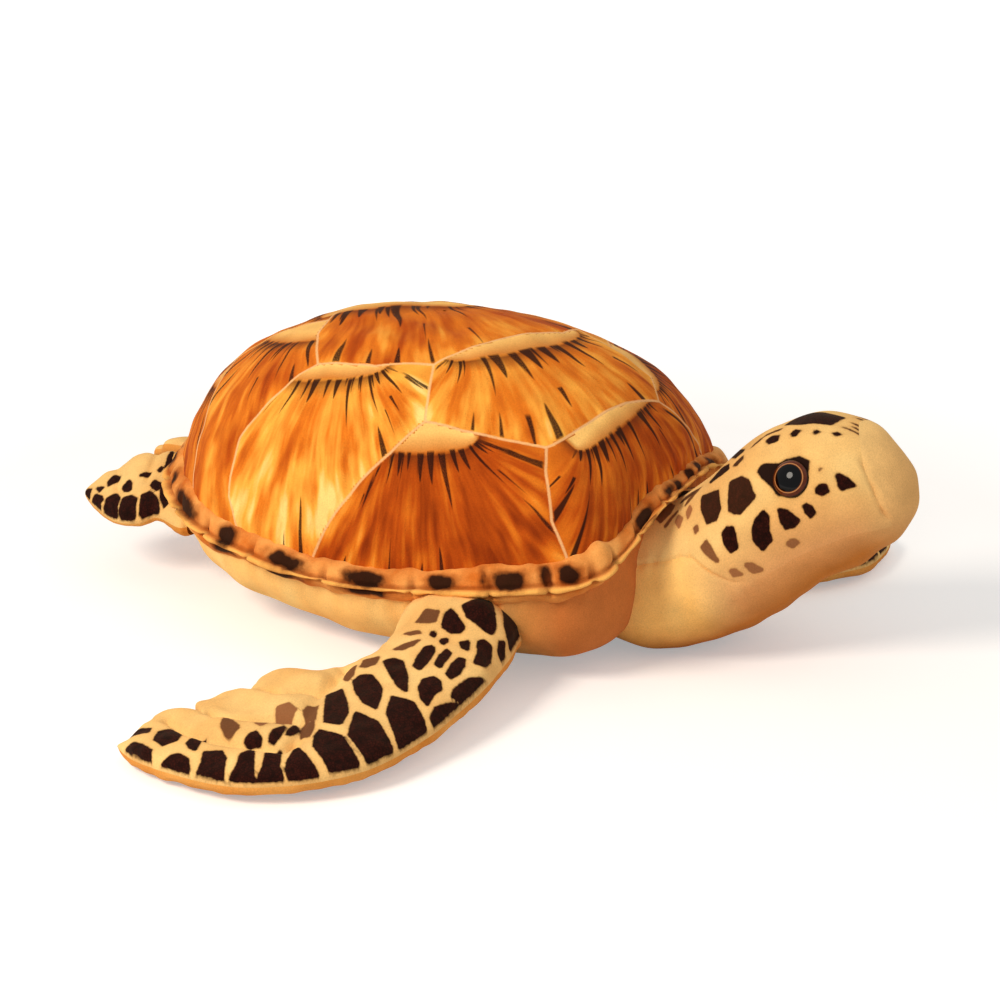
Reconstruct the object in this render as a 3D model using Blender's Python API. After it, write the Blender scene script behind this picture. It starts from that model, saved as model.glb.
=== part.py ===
"""A stuffed sea turtle sewn from printed plush, with its stuffing, panels and safety eyes as separate solids.

Metres, +Z up. The turtle rests on its belly at Z = 0 and looks along -Y; its own right side is -X.
The origin is on the flat of the belly. Each sewn bag is a closed form that swells and tapers. A form is
split into the cloth panels that make its skin and the filling inside them, one seam gap apart.
"""

import math

import bmesh
import bpy
from mathutils import Matrix, Vector

# Cloth and seams
CLOTH = 0.0022
SEAM_GAP = 0.0003
FILLING_GAP = 0.0005
CUT_OVERRUN = 0.004

# Shell and belly
SHELL_LENGTH = 0.285
SHELL_WIDTH = 0.220
SHELL_TOP = 0.1560
SHELL_NOSE = 0.135
SHELL_CROWN_SETBACK = 0.134
RIM_FRONT_HEIGHT = 0.083
RIM_OVERHANG = 0.0075
RIM_LIP = 0.0045
BELLY_FLAT_DEPTH = 0.0005

# Neck and head
NECK_HINGE_SETBACK = 0.027
NECK_HALF_HEIGHT = 0.0365
NECK_HALF_WIDTH = 0.051
NECK_FLOOR_GAP = 0.0005
HEAD_REACH = 0.141
HEAD_RISE = 0.055
NOD_STOPS = (math.radians(-4), 0.0, math.radians(5), math.radians(10), math.radians(15))
NECK_SEAT_GAP = 0.0005

# Front flippers
FRONT_ROOT_HALF_CHORD = 0.0285
FRONT_ROOT_HALF_DEPTH = 0.0098
FRONT_ROOT_HEIGHT = 0.025
FRONT_ROOT_SETBACK = 0.080
FRONT_SEAT_DEPTH = 0.005
FRONT_REACH = 0.157
FRONT_BLADE_HALF_DEPTH = 0.012
FRONT_SWEEP_FORWARD = math.radians(100)
FRONT_SWEPT_REACH_SHARE = 0.90

# Hind flippers
HIND_ROOT_HALF_CHORD = 0.019
HIND_ROOT_HALF_DEPTH = 0.0075
HIND_ROOT_HEIGHT = 0.039
HIND_ROOT_OFFSET = 0.040
HIND_SEAT_DEPTH = 0.004
HIND_REACH = 0.064

# Eyes
EYE_RADIUS = 0.009
EYE_DOME = 0.0058
EYE_FLANGE = 0.0012
EYE_SEAT = 0.0010
PINCHED_CLOTH = 0.0006
EYE_SHANK_RADIUS = 0.0025
EYE_SHANK = 0.014
WASHER_RADIUS = 0.008
WASHER = 0.002

# Fineness of the meshes
SHELL_COLUMNS = 36
HEAD_COLUMNS = 20
FRONT_COLUMNS = 12
HIND_COLUMNS = 10
CAP_RINGS = 3
CURVE_STEPS = 24
SEAT_SEGMENTS = 32
SEAT_RINGS = 24
NECK_SEAT_SEGMENTS = 24
EYE_STEPS = 20
EYE_DOME_RINGS = 5
WASHER_STEPS = 18
SHARP_EDGE = math.radians(50)

UPWARD = Vector((0, 0, 1))
FORWARD = Vector((0, -1, 0))

# Half of the rim's outline from nose to tail: across as a share of the half width, back as a share of the
# shell's length, and height as a share of the height at the nose.
RIM_SHARES = (
    (0.000, 0.000, 1.00),
    (0.370, 0.008, 0.93),
    (0.700, 0.024, 0.79),
    (0.880, 0.055, 0.70),
    (0.945, 0.150, 0.64),
    (0.990, 0.330, 0.555),
    (0.990, 0.520, 0.545),
    (0.920, 0.690, 0.56),
    (0.770, 0.840, 0.61),
    (0.500, 0.945, 0.70),
    (0.250, 0.988, 0.77),
    (0.000, 1.000, 0.81),
)
DOME_RING_SHARES = (0.20, 0.40, 0.58, 0.74, 0.87, 0.95, 0.99)
DOME_SQUARENESS = 2.05
DOME_CORNER_SQUARENESS = 2.5
BELLY_DROP_SHARES = (0.15, 0.35, 0.56, 0.76, 0.90, 0.965)
BELLY_NOSE_SQUARENESS = 4.0
BELLY_TAIL_SQUARENESS = 2.1

# Stations of the neck and head, from the neck's hinge to the beak: forward as a share of the reach, up as a
# share of the rise, half width and half height as shares of the neck's, and the tilt back in degrees.
HEAD_STATION_SHARES = (
    (0.000, 0.000, 1.00, 1.00, 0),
    (0.135, 0.020, 1.01, 1.01, 10),
    (0.280, 0.095, 0.98, 1.02, 22),
    (0.400, 0.290, 0.90, 1.04, 30),
    (0.500, 0.545, 0.83, 1.04, 33),
    (0.575, 0.725, 0.78, 1.06, 31),
    (0.650, 0.850, 0.74, 1.07, 26),
    (0.740, 0.945, 0.71, 1.04, 20),
    (0.840, 0.990, 0.62, 0.86, 11),
    (0.925, 0.960, 0.45, 0.60, 6),
    (0.975, 0.940, 0.25, 0.34, 3),
)
BEAK_FIRST_STATION = 9
NECK_ROOM_STATIONS = 4
# The eyes sit on one station of the head, between two of its columns.
EYE_STATION = 6
EYE_COLUMN_UP = 1
EYE_COLUMN_SHARE = 0.4
# The throat's seam runs so many columns below the widest point.
THROAT_COLUMNS_DOWN = 1

# Stations of a front flipper from root to tip: leading edge out and back, trailing edge out and back, as
# shares of the reach; how much of the root's height is left under it; half depth as a share of the blade's.
FRONT_STATION_SHARES = (
    (0.09, -0.200, 0.11, 0.165, 0.75, 1.00),
    (0.26, -0.222, 0.23, 0.160, 0.58, 1.04),
    (0.43, -0.205, 0.33, 0.205, 0.34, 1.04),
    (0.58, -0.175, 0.37, 0.300, 0.17, 0.98),
    (0.77, -0.110, 0.41, 0.440, 0.06, 0.92),
    (0.90, 0.000, 0.51, 0.450, 0.02, 0.86),
    (0.98, 0.140, 0.605, 0.545, 0.00, 0.80),
    (1.00, 0.250, 0.655, 0.525, 0.00, 0.74),
    (0.99, 0.380, 0.705, 0.610, 0.03, 0.66),
    (0.955, 0.520, 0.785, 0.625, 0.08, 0.52),
    (0.910, 0.600, 0.850, 0.635, 0.12, 0.34),
)
BLADE_FULLNESS_SHARE = 0.8
FRONT_TIP_SHARES = (0.875, 0.650, 0.16)
SWEEP_STATION_SHARES = (0.22, 0.55, 0.82, 0.96, 1.0)

# Stations of a hind flipper: outer edge out, back and down, inner edge out, back and down, as shares of the
# reach, and half depth as a share of the root's.
HIND_STATION_SHARES = (
    (0.16, 0.21, 0.000, -0.36, 0.35, -0.155, 1.00),
    (0.20, 0.37, 0.060, -0.33, 0.63, -0.205, 1.02),
    (0.18, 0.61, 0.085, -0.25, 0.81, -0.150, 0.88),
    (0.09, 0.83, 0.045, -0.16, 0.95, -0.070, 0.64),
)
HIND_TIP_SHARES = (-0.03, 1.01, -0.010)


def shares_curve(rows, count):
    """Rows read at evenly spaced places on a smooth curve through all of them."""
    rows = [Vector(row[:3]) for row in rows]
    ends = [rows[1] * 1, *rows, rows[-2] * 1]
    ends[0].x = -ends[0].x
    ends[-1].x = -ends[-1].x
    fine = []
    for index in range(1, len(ends) - 2):
        before, start, stop, after = ends[index - 1 : index + 3]
        for step in range(CURVE_STEPS):
            t = step / CURVE_STEPS
            fine.append(
                0.5
                * (
                    2 * start
                    + (stop - before) * t
                    + (2 * before - 5 * start + 4 * stop - after) * t**2
                    + (3 * start - before - 3 * stop + after) * t**3
                )
            )
    fine.append(rows[-1])
    travelled = [0.0]
    for first, second in zip(fine, fine[1:]):
        across = (second.x - first.x) * SHELL_WIDTH / 2
        back = (second.y - first.y) * SHELL_LENGTH
        travelled.append(travelled[-1] + math.hypot(across, back))
    points = []
    place = 0
    for step in range(count):
        goal = travelled[-1] * step / (count - 1)
        while place < len(fine) - 2 and travelled[place + 1] < goal:
            place += 1
        span = travelled[place + 1] - travelled[place]
        points.append(fine[place].lerp(fine[place + 1], (goal - travelled[place]) / span))
    return points


def rim_edge():
    """The rim's outer edge as a closed ring of points, anticlockwise from the nose seen from above."""
    half = []
    for across, back, height in shares_curve(RIM_SHARES, SHELL_COLUMNS // 2 + 1):
        half.append(
            Vector((across * SHELL_WIDTH / 2, back * SHELL_LENGTH - SHELL_NOSE, height * RIM_FRONT_HEIGHT))
        )
    other = [Vector((-point.x, point.y, point.z)) for point in reversed(half[1:-1])]
    return half + other


class Skin:
    """A closed triangle mesh from a pole, through rings of points, to another pole."""

    def __init__(self, first_pole, rings, last_pole):
        self.columns = len(rings[0])
        self.points = [first_pole]
        for ring in rings:
            self.points.extend(ring)
        self.points.append(last_pole)
        self.faces = []
        self.places = []
        columns = self.columns
        for column in range(columns):
            after = (column + 1) % columns
            self._face((0, 1 + column, 1 + after), -1, column)
            for ring in range(len(rings) - 1):
                start = 1 + ring * columns
                low = (start + column, start + after)
                high = (start + columns + column, start + columns + after)
                self._face((low[0], high[0], high[1]), ring, column)
                self._face((low[0], high[1], low[1]), ring, column)
            start = 1 + (len(rings) - 1) * columns
            self._face((start + column, len(self.points) - 1, start + after), len(rings) - 1, column)
        self._find_normals()

    def _face(self, corners, ring, column):
        self.faces.append(corners)
        self.places.append((ring, column))

    def _find_normals(self):
        volume = 0.0
        for a, b, c in self.faces:
            volume += self.points[a].dot(self.points[b].cross(self.points[c]))
        if volume < 0:
            self.faces = [(a, c, b) for a, b, c in self.faces]
        self.normals = [Vector() for _ in self.points]
        for a, b, c in self.faces:
            tilt = (self.points[b] - self.points[a]).cross(self.points[c] - self.points[a])
            for corner in (a, b, c):
                self.normals[corner] += tilt
        for normal in self.normals:
            normal.normalize()

    def at(self, index, depth):
        return self.points[index] - self.normals[index] * depth


def add_object(name, points, faces, material):
    mesh = bpy.data.meshes.new(name)
    mesh.from_pydata([tuple(point) for point in points], [], faces)
    mesh.shade_smooth()
    mesh.set_sharp_from_angle(angle=SHARP_EDGE)
    mesh.materials.append(material)
    made = bpy.data.objects.new(name, mesh)
    bpy.context.collection.objects.link(made)
    return made


def add_filling(name, skin, material):
    """The stuffing: the whole form, drawn in by the cloth and the seam gap."""
    points = [skin.at(index, CLOTH + FILLING_GAP) for index in range(len(skin.points))]
    return add_object(name, points, skin.faces, material)


def add_panel(name, skin, belongs, draw_back, material):
    """One cloth panel: the faces that belong to it, as thick as the cloth.

    draw_back is the way that its border is drawn back from the seam, by half of the seam's gap. The walls
    along a seam are split along the same diagonals in both panels, so they face each other flat.
    """
    chosen = [face for face, place in zip(skin.faces, skin.places) if belongs(*place)]
    edges = {(face[corner - 1], face[corner]) for face in chosen for corner in range(3)}
    border = {first: second for first, second in edges if (second, first) not in edges}
    used = sorted({corner for face in chosen for corner in face})
    number = {corner: index for index, corner in enumerate(used)}
    shift = draw_back * SEAM_GAP / 2
    outer = []
    inner = []
    for corner in used:
        moved = shift if corner in border else Vector()
        outer.append(skin.points[corner] + moved)
        inner.append(skin.at(corner, CLOTH) + moved)
    count = len(used)
    faces = [tuple(number[corner] for corner in face) for face in chosen]
    back = [tuple(count + number[corner] for corner in reversed(face)) for face in chosen]
    walls = []
    for first, second in border.items():
        a = number[first]
        b = number[second]
        if first < second:
            walls += [(b, a, count + b), (a, count + a, count + b)]
        else:
            walls += [(b, a, count + a), (b, count + a, count + b)]
    return add_object(name, outer + inner, faces + back + walls, material)


def cut(target, cutter):
    modifier = target.modifiers.new(cutter.name, "BOOLEAN")
    modifier.operation = "DIFFERENCE"
    modifier.solver = "EXACT"
    modifier.object = cutter


def hide_cutter(cutter):
    cutter.hide_render = True
    cutter.display_type = "WIRE"
    return cutter


def add_ellipsoid_cutter(name, centre, axis, half_length, radius):
    """A ball stretched along an axis, for the seat that a rounded root turns in."""
    mesh = bpy.data.meshes.new(name)
    shape = bmesh.new()
    bmesh.ops.create_uvsphere(shape, u_segments=SEAT_SEGMENTS, v_segments=SEAT_RINGS, radius=1)
    stretch = Matrix.Diagonal((radius, radius, half_length, 1))
    turn = axis.to_track_quat("Z", "Y").to_matrix().to_4x4()
    bmesh.ops.transform(shape, matrix=Matrix.Translation(centre) @ turn @ stretch, verts=shape.verts)
    bmesh.ops.triangulate(shape, faces=shape.faces)
    shape.to_mesh(mesh)
    shape.free()
    made = bpy.data.objects.new(name, mesh)
    bpy.context.collection.objects.link(made)
    return hide_cutter(made)


def add_turned(name, profile, centre, axis, steps, material):
    """A round piece turned about an axis through its centre; the profile is (radius, height) pairs."""
    points = []
    rings = []
    for radius, height in profile:
        if radius == 0:
            rings.append([len(points)] * steps)
            points.append(Vector((0, 0, height)))
            continue
        rings.append(list(range(len(points), len(points) + steps)))
        for step in range(steps):
            angle = math.tau * step / steps
            points.append(Vector((radius * math.cos(angle), radius * math.sin(angle), height)))
    if profile[0][0] > 0:
        rings.append(rings[0])
    faces = []
    for lower, upper in zip(rings, rings[1:]):
        for step in range(steps):
            after = (step + 1) % steps
            corners = (lower[step], lower[after], upper[after], upper[step])
            face = tuple(dict.fromkeys(corners))
            faces.append(face)
    made = add_object(name, points, faces, material)
    made.matrix_basis = Matrix.Translation(centre) @ axis.to_track_quat("Z", "Y").to_matrix().to_4x4()
    return made


def add_material(name, colour, roughness, metallic=0.0):
    material = bpy.data.materials.new(name)
    material.use_nodes = True
    shader = material.node_tree.nodes["Principled BSDF"]
    shader.inputs["Base Color"].default_value = (*colour, 1)
    shader.inputs["Roughness"].default_value = roughness
    shader.inputs["Metallic"].default_value = metallic
    material.diffuse_color = (*colour, 1)
    return material


def add_hinge(name, place):
    """An empty on a joint's axis; the pieces that move with the joint hang from it."""
    hinge = bpy.data.objects.new(name, None)
    hinge.empty_display_size = NECK_HALF_HEIGHT
    hinge.location = place
    bpy.context.collection.objects.link(hinge)
    return hinge


def hang(pieces, hinge):
    for piece in pieces:
        piece.parent = hinge
        piece.matrix_parent_inverse = Matrix.Translation(hinge.location).inverted()


def crown_place():
    return Vector((0, SHELL_CROWN_SETBACK - SHELL_NOSE, 0))


def plan_outward(point):
    """The level direction from under the crown to a point of the rim."""
    return (Vector((point.x, point.y, 0)) - crown_place()).normalized()


def belly_squareness(point):
    """The belly is boxy at the neck and slack at the tail."""
    share = (point.y + SHELL_NOSE) / SHELL_LENGTH
    return BELLY_NOSE_SQUARENESS + (BELLY_TAIL_SQUARENESS - BELLY_NOSE_SQUARENESS) * share


def wall_place(point, height):
    """Where the belly's wall lies at a height, on the line from under the crown to a point of the rim."""
    crown = crown_place()
    widest = point - plan_outward(point) * RIM_OVERHANG
    squareness = belly_squareness(widest)
    drop = (point.z - height) / (point.z + BELLY_FLAT_DEPTH)
    share = (1 - drop**squareness) ** (1 / squareness)
    wall = crown + (Vector((widest.x, widest.y, 0)) - crown) * share
    return Vector((wall.x, wall.y, height))


def body_skin(edge):
    """The stuffed body: a dome over a flat-bottomed bowl, sharing the widest line under the rim.

    Seen from above, the dome follows the rim's outline at its foot and rounds off towards the crown.
    """
    crown = crown_place()
    widest = [point - plan_outward(point) * RIM_OVERHANG for point in edge]
    rings = []
    for share in DOME_RING_SHARES:
        swell = (1 - share**DOME_SQUARENESS) ** (1 / DOME_SQUARENESS)
        ring = []
        for out in widest:
            level = Vector((out.x, out.y, 0)) - crown
            across = 2 * level.x / SHELL_WIDTH
            along = 2 * level.y / SHELL_LENGTH
            rounded = level / math.hypot(across, along)
            flat = crown + rounded.lerp(level, share**DOME_CORNER_SQUARENESS) * share
            ring.append(Vector((flat.x, flat.y, out.z + (SHELL_TOP - out.z) * swell)))
        rings.append(ring)
    rings.append(widest)
    for drop in BELLY_DROP_SHARES:
        rings.append([wall_place(point, point.z - (point.z + BELLY_FLAT_DEPTH) * drop) for point in edge])
    rings.append([wall_place(point, 0) for point in edge])
    top = Vector((crown.x, crown.y, SHELL_TOP))
    return Skin(top, rings, crown)


def head_stations():
    """Each station's centre, half width, half height and tilt, from the neck's hinge to the beak."""
    hinge = neck_hinge()
    stations = []
    for forward, up, wide, tall, tilt in HEAD_STATION_SHARES:
        centre = hinge + Vector((0, -forward * HEAD_REACH, up * HEAD_RISE))
        stations.append((centre, wide * NECK_HALF_WIDTH, tall * NECK_HALF_HEIGHT, math.radians(tilt)))
    return stations


def neck_hinge():
    return Vector((0, NECK_HINGE_SETBACK - SHELL_NOSE, NECK_HALF_HEIGHT + NECK_FLOOR_GAP))


def head_ring(centre, wide, tall, tilt):
    ring = []
    for column in range(HEAD_COLUMNS):
        angle = math.tau * column / HEAD_COLUMNS
        out = wide * math.cos(angle)
        up = tall * math.sin(angle)
        ring.append(centre + Vector((out, up * math.sin(tilt), up * math.cos(tilt))))
    return ring


def head_skin():
    """The neck and head as one bag, with a round end behind the hinge that turns in the body's seat."""
    stations = head_stations()
    hinge, wide, tall, _ = stations[0]
    rings = []
    for step in range(CAP_RINGS):
        lean = math.pi / 2 * (CAP_RINGS - step) / (CAP_RINGS + 1)
        back = Vector((0, tall * math.sin(lean), 0))
        rings.append(head_ring(hinge + back, wide * math.cos(lean), tall * math.cos(lean), 0))
    for station in stations:
        rings.append(head_ring(*station))
    beak = neck_hinge() + Vector((0, -HEAD_REACH, HEAD_STATION_SHARES[-1][1] * HEAD_RISE))
    return Skin(hinge + Vector((0, tall, 0)), rings, beak)


def add_neck_cutter():
    """The room that the neck sweeps in the body and the rim over its nod, with a round seat behind the hinge."""
    hinge, wide, tall, _ = head_stations()[0]
    reached = []
    for step in range(1, NECK_SEAT_SEGMENTS):
        across = math.pi * step / NECK_SEAT_SEGMENTS
        slice_radius = (tall + NECK_SEAT_GAP) * math.sin(across)
        for place in range(2 * NECK_SEAT_SEGMENTS):
            around = math.tau * place / (2 * NECK_SEAT_SEGMENTS)
            level = Vector((0, math.cos(around), math.sin(around))) * slice_radius
            reached.append(hinge + level + Vector(((wide + NECK_SEAT_GAP) * math.cos(across), 0, 0)))
    for nod in NOD_STOPS:
        swing = Matrix.Rotation(nod, 3, "X")
        for centre, out, up, tilt in head_stations()[1:NECK_ROOM_STATIONS]:
            for point in head_ring(centre, out + SEAM_GAP, up + SEAM_GAP, tilt):
                reached.append(hinge + swing @ (point - hinge))
    shape = bmesh.new()
    for point in reached:
        shape.verts.new(point)
    bmesh.ops.convex_hull(shape, input=shape.verts)
    inside = [corner for corner in shape.verts if not corner.link_faces]
    bmesh.ops.delete(shape, geom=inside, context="VERTS")
    mesh = bpy.data.meshes.new("neck_room")
    shape.to_mesh(mesh)
    shape.free()
    made = bpy.data.objects.new("neck_room", mesh)
    bpy.context.collection.objects.link(made)
    return hide_cutter(made)


def blade_ring(lead, trail, half_depth, up, columns, fullness_share=1.0):
    """An oval ring from a leading edge over the top to a trailing edge and back underneath.

    A fullness share under 1 squares the oval, as stuffing fills out the edges.
    """
    centre = (lead + trail) / 2
    chord = (lead - trail) / 2
    ring = []
    for column in range(columns):
        angle = math.tau * column / columns
        across = math.copysign(abs(math.cos(angle)) ** fullness_share, math.cos(angle))
        over = math.copysign(abs(math.sin(angle)) ** fullness_share, math.sin(angle))
        ring.append(centre + chord * across + up * half_depth * over)
    return ring


def flipper_skin(root, stations, tip, columns):
    """A flipper as one bag: a round end that turns in the body's seat, then stations out to the tip.

    root is (centre, chord direction, outward direction, half chord, half depth); a station is
    (leading edge, trailing edge, half depth).
    """
    centre, chord, outward, half_chord, half_depth = root
    up = outward.cross(chord).normalized()
    if up.z < 0:
        up = -up
    rings = []
    for step in range(CAP_RINGS):
        lean = math.pi / 2 * (CAP_RINGS - step) / (CAP_RINGS + 1)
        middle = centre - outward * half_depth * math.sin(lean)
        reach = chord * half_chord * math.cos(lean)
        rings.append(blade_ring(middle + reach, middle - reach, half_depth * math.cos(lean), up, columns))
    reach = chord * half_chord
    rings.append(blade_ring(centre + reach, centre - reach, half_depth, up, columns))
    for lead, trail, depth in stations:
        across = (lead - trail).normalized()
        rise = (Vector((0, 0, 1)) - across * across.z).normalized()
        rings.append(blade_ring(lead, trail, depth, rise, columns, BLADE_FULLNESS_SHARE))
    return Skin(centre - outward * half_depth, rings, tip)


def front_root(side):
    """The root lies along the body's side, its axis just off the wall."""
    back = FRONT_ROOT_SETBACK - SHELL_NOSE
    walls = [wall_place(point, FRONT_ROOT_HEIGHT) for point in rim_edge() if point.x > 0]
    after = next(index for index, wall in enumerate(walls) if wall.y > back)
    share = (back - walls[after - 1].y) / (walls[after].y - walls[after - 1].y)
    wall = walls[after - 1].lerp(walls[after], share)
    centre = Vector((side * (wall.x + FRONT_SEAT_DEPTH), back, FRONT_ROOT_HEIGHT))
    return centre, FORWARD, Vector((side, 0, 0)), FRONT_ROOT_HALF_CHORD, FRONT_ROOT_HALF_DEPTH


def front_flipper_skin(side, sweep):
    """sweep turns the blade forward about its root; the arm bends into the turn over its first stations,
    and a swept blade is drawn in by its bend, so it reaches less far."""
    root = front_root(side)
    reach = FRONT_REACH * (FRONT_SWEPT_REACH_SHARE if sweep else 1)
    centre = root[0]
    clear = FRONT_ROOT_HEIGHT - FRONT_ROOT_HALF_DEPTH

    def place(out, back, height, turn_share):
        turn = Matrix.Rotation(-side * sweep * turn_share, 3, "Z")
        offset = turn @ Vector((side * out * reach, back * reach, 0))
        return Vector((centre.x + offset.x, centre.y + offset.y, height))

    stations = []
    for index, shares in enumerate(FRONT_STATION_SHARES):
        lead_out, lead_back, trail_out, trail_back, lift, depth_share = shares
        turn_share = SWEEP_STATION_SHARES[min(index, len(SWEEP_STATION_SHARES) - 1)]
        depth = depth_share * FRONT_BLADE_HALF_DEPTH
        height = lift * clear + depth
        lead = place(lead_out, lead_back, height, turn_share)
        trail = place(trail_out, trail_back, height, turn_share)
        stations.append((lead, trail, depth))
    out, back, lift = FRONT_TIP_SHARES
    tip_depth = FRONT_STATION_SHARES[-1][5] * FRONT_BLADE_HALF_DEPTH
    tip = place(out, back, lift * clear + tip_depth, 1)
    return root, flipper_skin(root, stations, tip, FRONT_COLUMNS)


def hind_root(side):
    """The root follows the rim's edge, which it hangs under near the tail."""
    walls = [wall_place(point, HIND_ROOT_HEIGHT) for point in rim_edge() if point.x > 0 and point.y > 0]
    after = next(index for index, wall in enumerate(walls) if wall.x < HIND_ROOT_OFFSET)
    share = (HIND_ROOT_OFFSET - walls[after - 1].x) / (walls[after].x - walls[after - 1].x)
    wall = walls[after - 1].lerp(walls[after], share)
    along = (walls[after - 1] - walls[after]).normalized()
    chord = Vector((side * along.x, along.y, 0))
    outward = Vector((-side * chord.y, side * chord.x, 0))
    centre = Vector((side * wall.x, wall.y, HIND_ROOT_HEIGHT)) + outward * HIND_SEAT_DEPTH
    return centre, chord, outward, HIND_ROOT_HALF_CHORD, HIND_ROOT_HALF_DEPTH


def hind_flipper_skin(side):
    root = hind_root(side)
    centre = root[0]

    def place(out, back, down):
        return centre + Vector((side * out, back, -down)) * HIND_REACH

    stations = []
    for shares in HIND_STATION_SHARES:
        lead = place(*shares[:3])
        trail = place(*shares[3:6])
        stations.append((lead, trail, shares[6] * HIND_ROOT_HALF_DEPTH))
    return root, flipper_skin(root, stations, place(*HIND_TIP_SHARES), HIND_COLUMNS)


def add_rim(skin, edge, material):
    """The padded band that is folded over the seam round the body, one seam gap clear of it."""
    equator = len(DOME_RING_SHARES)
    columns = skin.columns

    def row(ring, lift):
        start = 1 + ring * columns
        return [skin.at(start + column, -lift) for column in range(columns)]

    upper = row(equator - 1, SEAM_GAP)
    middle = row(equator, SEAM_GAP)
    lower = row(equator + 1, SEAM_GAP)
    upper_out = row(equator - 1, SEAM_GAP + RIM_LIP)
    lower_out = row(equator + 1, SEAM_GAP + RIM_LIP)
    fold_top = [point - plan_outward(point) * RIM_LIP / 2 + UPWARD * RIM_LIP for point in edge]
    fold_low = [point - plan_outward(point) * RIM_LIP / 2 - UPWARD * RIM_LIP for point in edge]
    loops = [upper, upper_out, fold_top, edge, fold_low, lower_out, lower, middle]
    points = [point for loop in loops for point in loop]
    faces = []
    for loop in range(len(loops)):
        for column in range(columns):
            after = (column + 1) % columns
            a = loop * columns + column
            b = loop * columns + after
            c = (loop + 1) % len(loops) * columns + after
            d = (loop + 1) % len(loops) * columns + column
            faces.append((a, b, c))
            faces.append((a, c, d))
    made = add_object("shell_rim_band", points, faces, material)
    shape = bmesh.new()
    shape.from_mesh(made.data)
    bmesh.ops.recalc_face_normals(shape, faces=shape.faces)
    shape.to_mesh(made.data)
    shape.free()
    return made


def eye_places(skin):
    """Each eye's centre on the head's skin and the way that it looks, left and right."""
    widest = 1 + (CAP_RINGS + EYE_STATION) * skin.columns
    below = widest + EYE_COLUMN_UP
    above = below + 1
    point = skin.points[below].lerp(skin.points[above], EYE_COLUMN_SHARE)
    look = skin.normals[below].lerp(skin.normals[above], EYE_COLUMN_SHARE).normalized()
    mirror = Vector((-1, 1, 1))
    return (point, look), (point * mirror, look * mirror)


def add_eye(name, washer_name, centre, look, covers, filling, materials):
    """A plastic safety eye on its shank, and the washer that locks it behind the cloth."""
    seat = centre - look * EYE_SEAT
    dome = []
    for step in range(EYE_DOME_RINGS + 1):
        lean = math.pi / 2 * step / EYE_DOME_RINGS
        dome.append((EYE_RADIUS * math.cos(lean), EYE_FLANGE + (EYE_DOME - EYE_FLANGE) * math.sin(lean)))
    dome[-1] = (0, EYE_DOME)
    profile = [(0, -EYE_SHANK), (EYE_SHANK_RADIUS, -EYE_SHANK), (EYE_SHANK_RADIUS, 0), (EYE_RADIUS, 0)]
    eye = add_turned(name, profile + dome, seat, look, EYE_STEPS, materials["eye"])
    behind = -(SEAM_GAP + PINCHED_CLOTH + SEAM_GAP)
    hole = EYE_SHANK_RADIUS + SEAM_GAP
    ring = [(hole, behind - WASHER), (WASHER_RADIUS, behind - WASHER), (WASHER_RADIUS, behind), (hole, behind)]
    washer = add_turned(washer_name, ring, seat, look, WASHER_STEPS, materials["washer"])
    wide = EYE_RADIUS + SEAM_GAP
    pocket_shape = [
        (0, -EYE_SHANK - SEAM_GAP),
        (hole, -EYE_SHANK - SEAM_GAP),
        (hole, -SEAM_GAP),
        (wide, -SEAM_GAP),
        (wide, CUT_OVERRUN),
        (0, CUT_OVERRUN),
    ]
    pocket = hide_cutter(add_turned(name + "_pocket", pocket_shape, seat, look, EYE_STEPS, materials["eye"]))
    room = WASHER_RADIUS + SEAM_GAP
    depth = behind - WASHER - SEAM_GAP
    front = behind + SEAM_GAP
    room_shape = [(0, depth), (room, depth), (room, front), (0, front)]
    washer_room = add_turned(name + "_washer_room", room_shape, seat, look, WASHER_STEPS, materials["washer"])
    hide_cutter(washer_room)
    for cover in covers:
        cut(cover, pocket)
        cut(cover, washer_room)
    cut(filling, pocket)
    cut(filling, washer_room)
    return [eye, washer, pocket, washer_room]


def add_bag(name, skin, materials):
    """The three pieces of a flipper: its printed upper panel, its plain under panel and its filling."""

    def on_top(ring, column):
        return column < skin.columns // 2

    def on_underside(ring, column):
        return not on_top(ring, column)

    upper = add_panel(name + "_upper_panel", skin, on_top, UPWARD, materials["skin"])
    under = add_panel(name + "_under_panel", skin, on_underside, -UPWARD, materials["under"])
    return [upper, under, add_filling(name + "_filling", skin, materials["filling"])]


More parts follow.
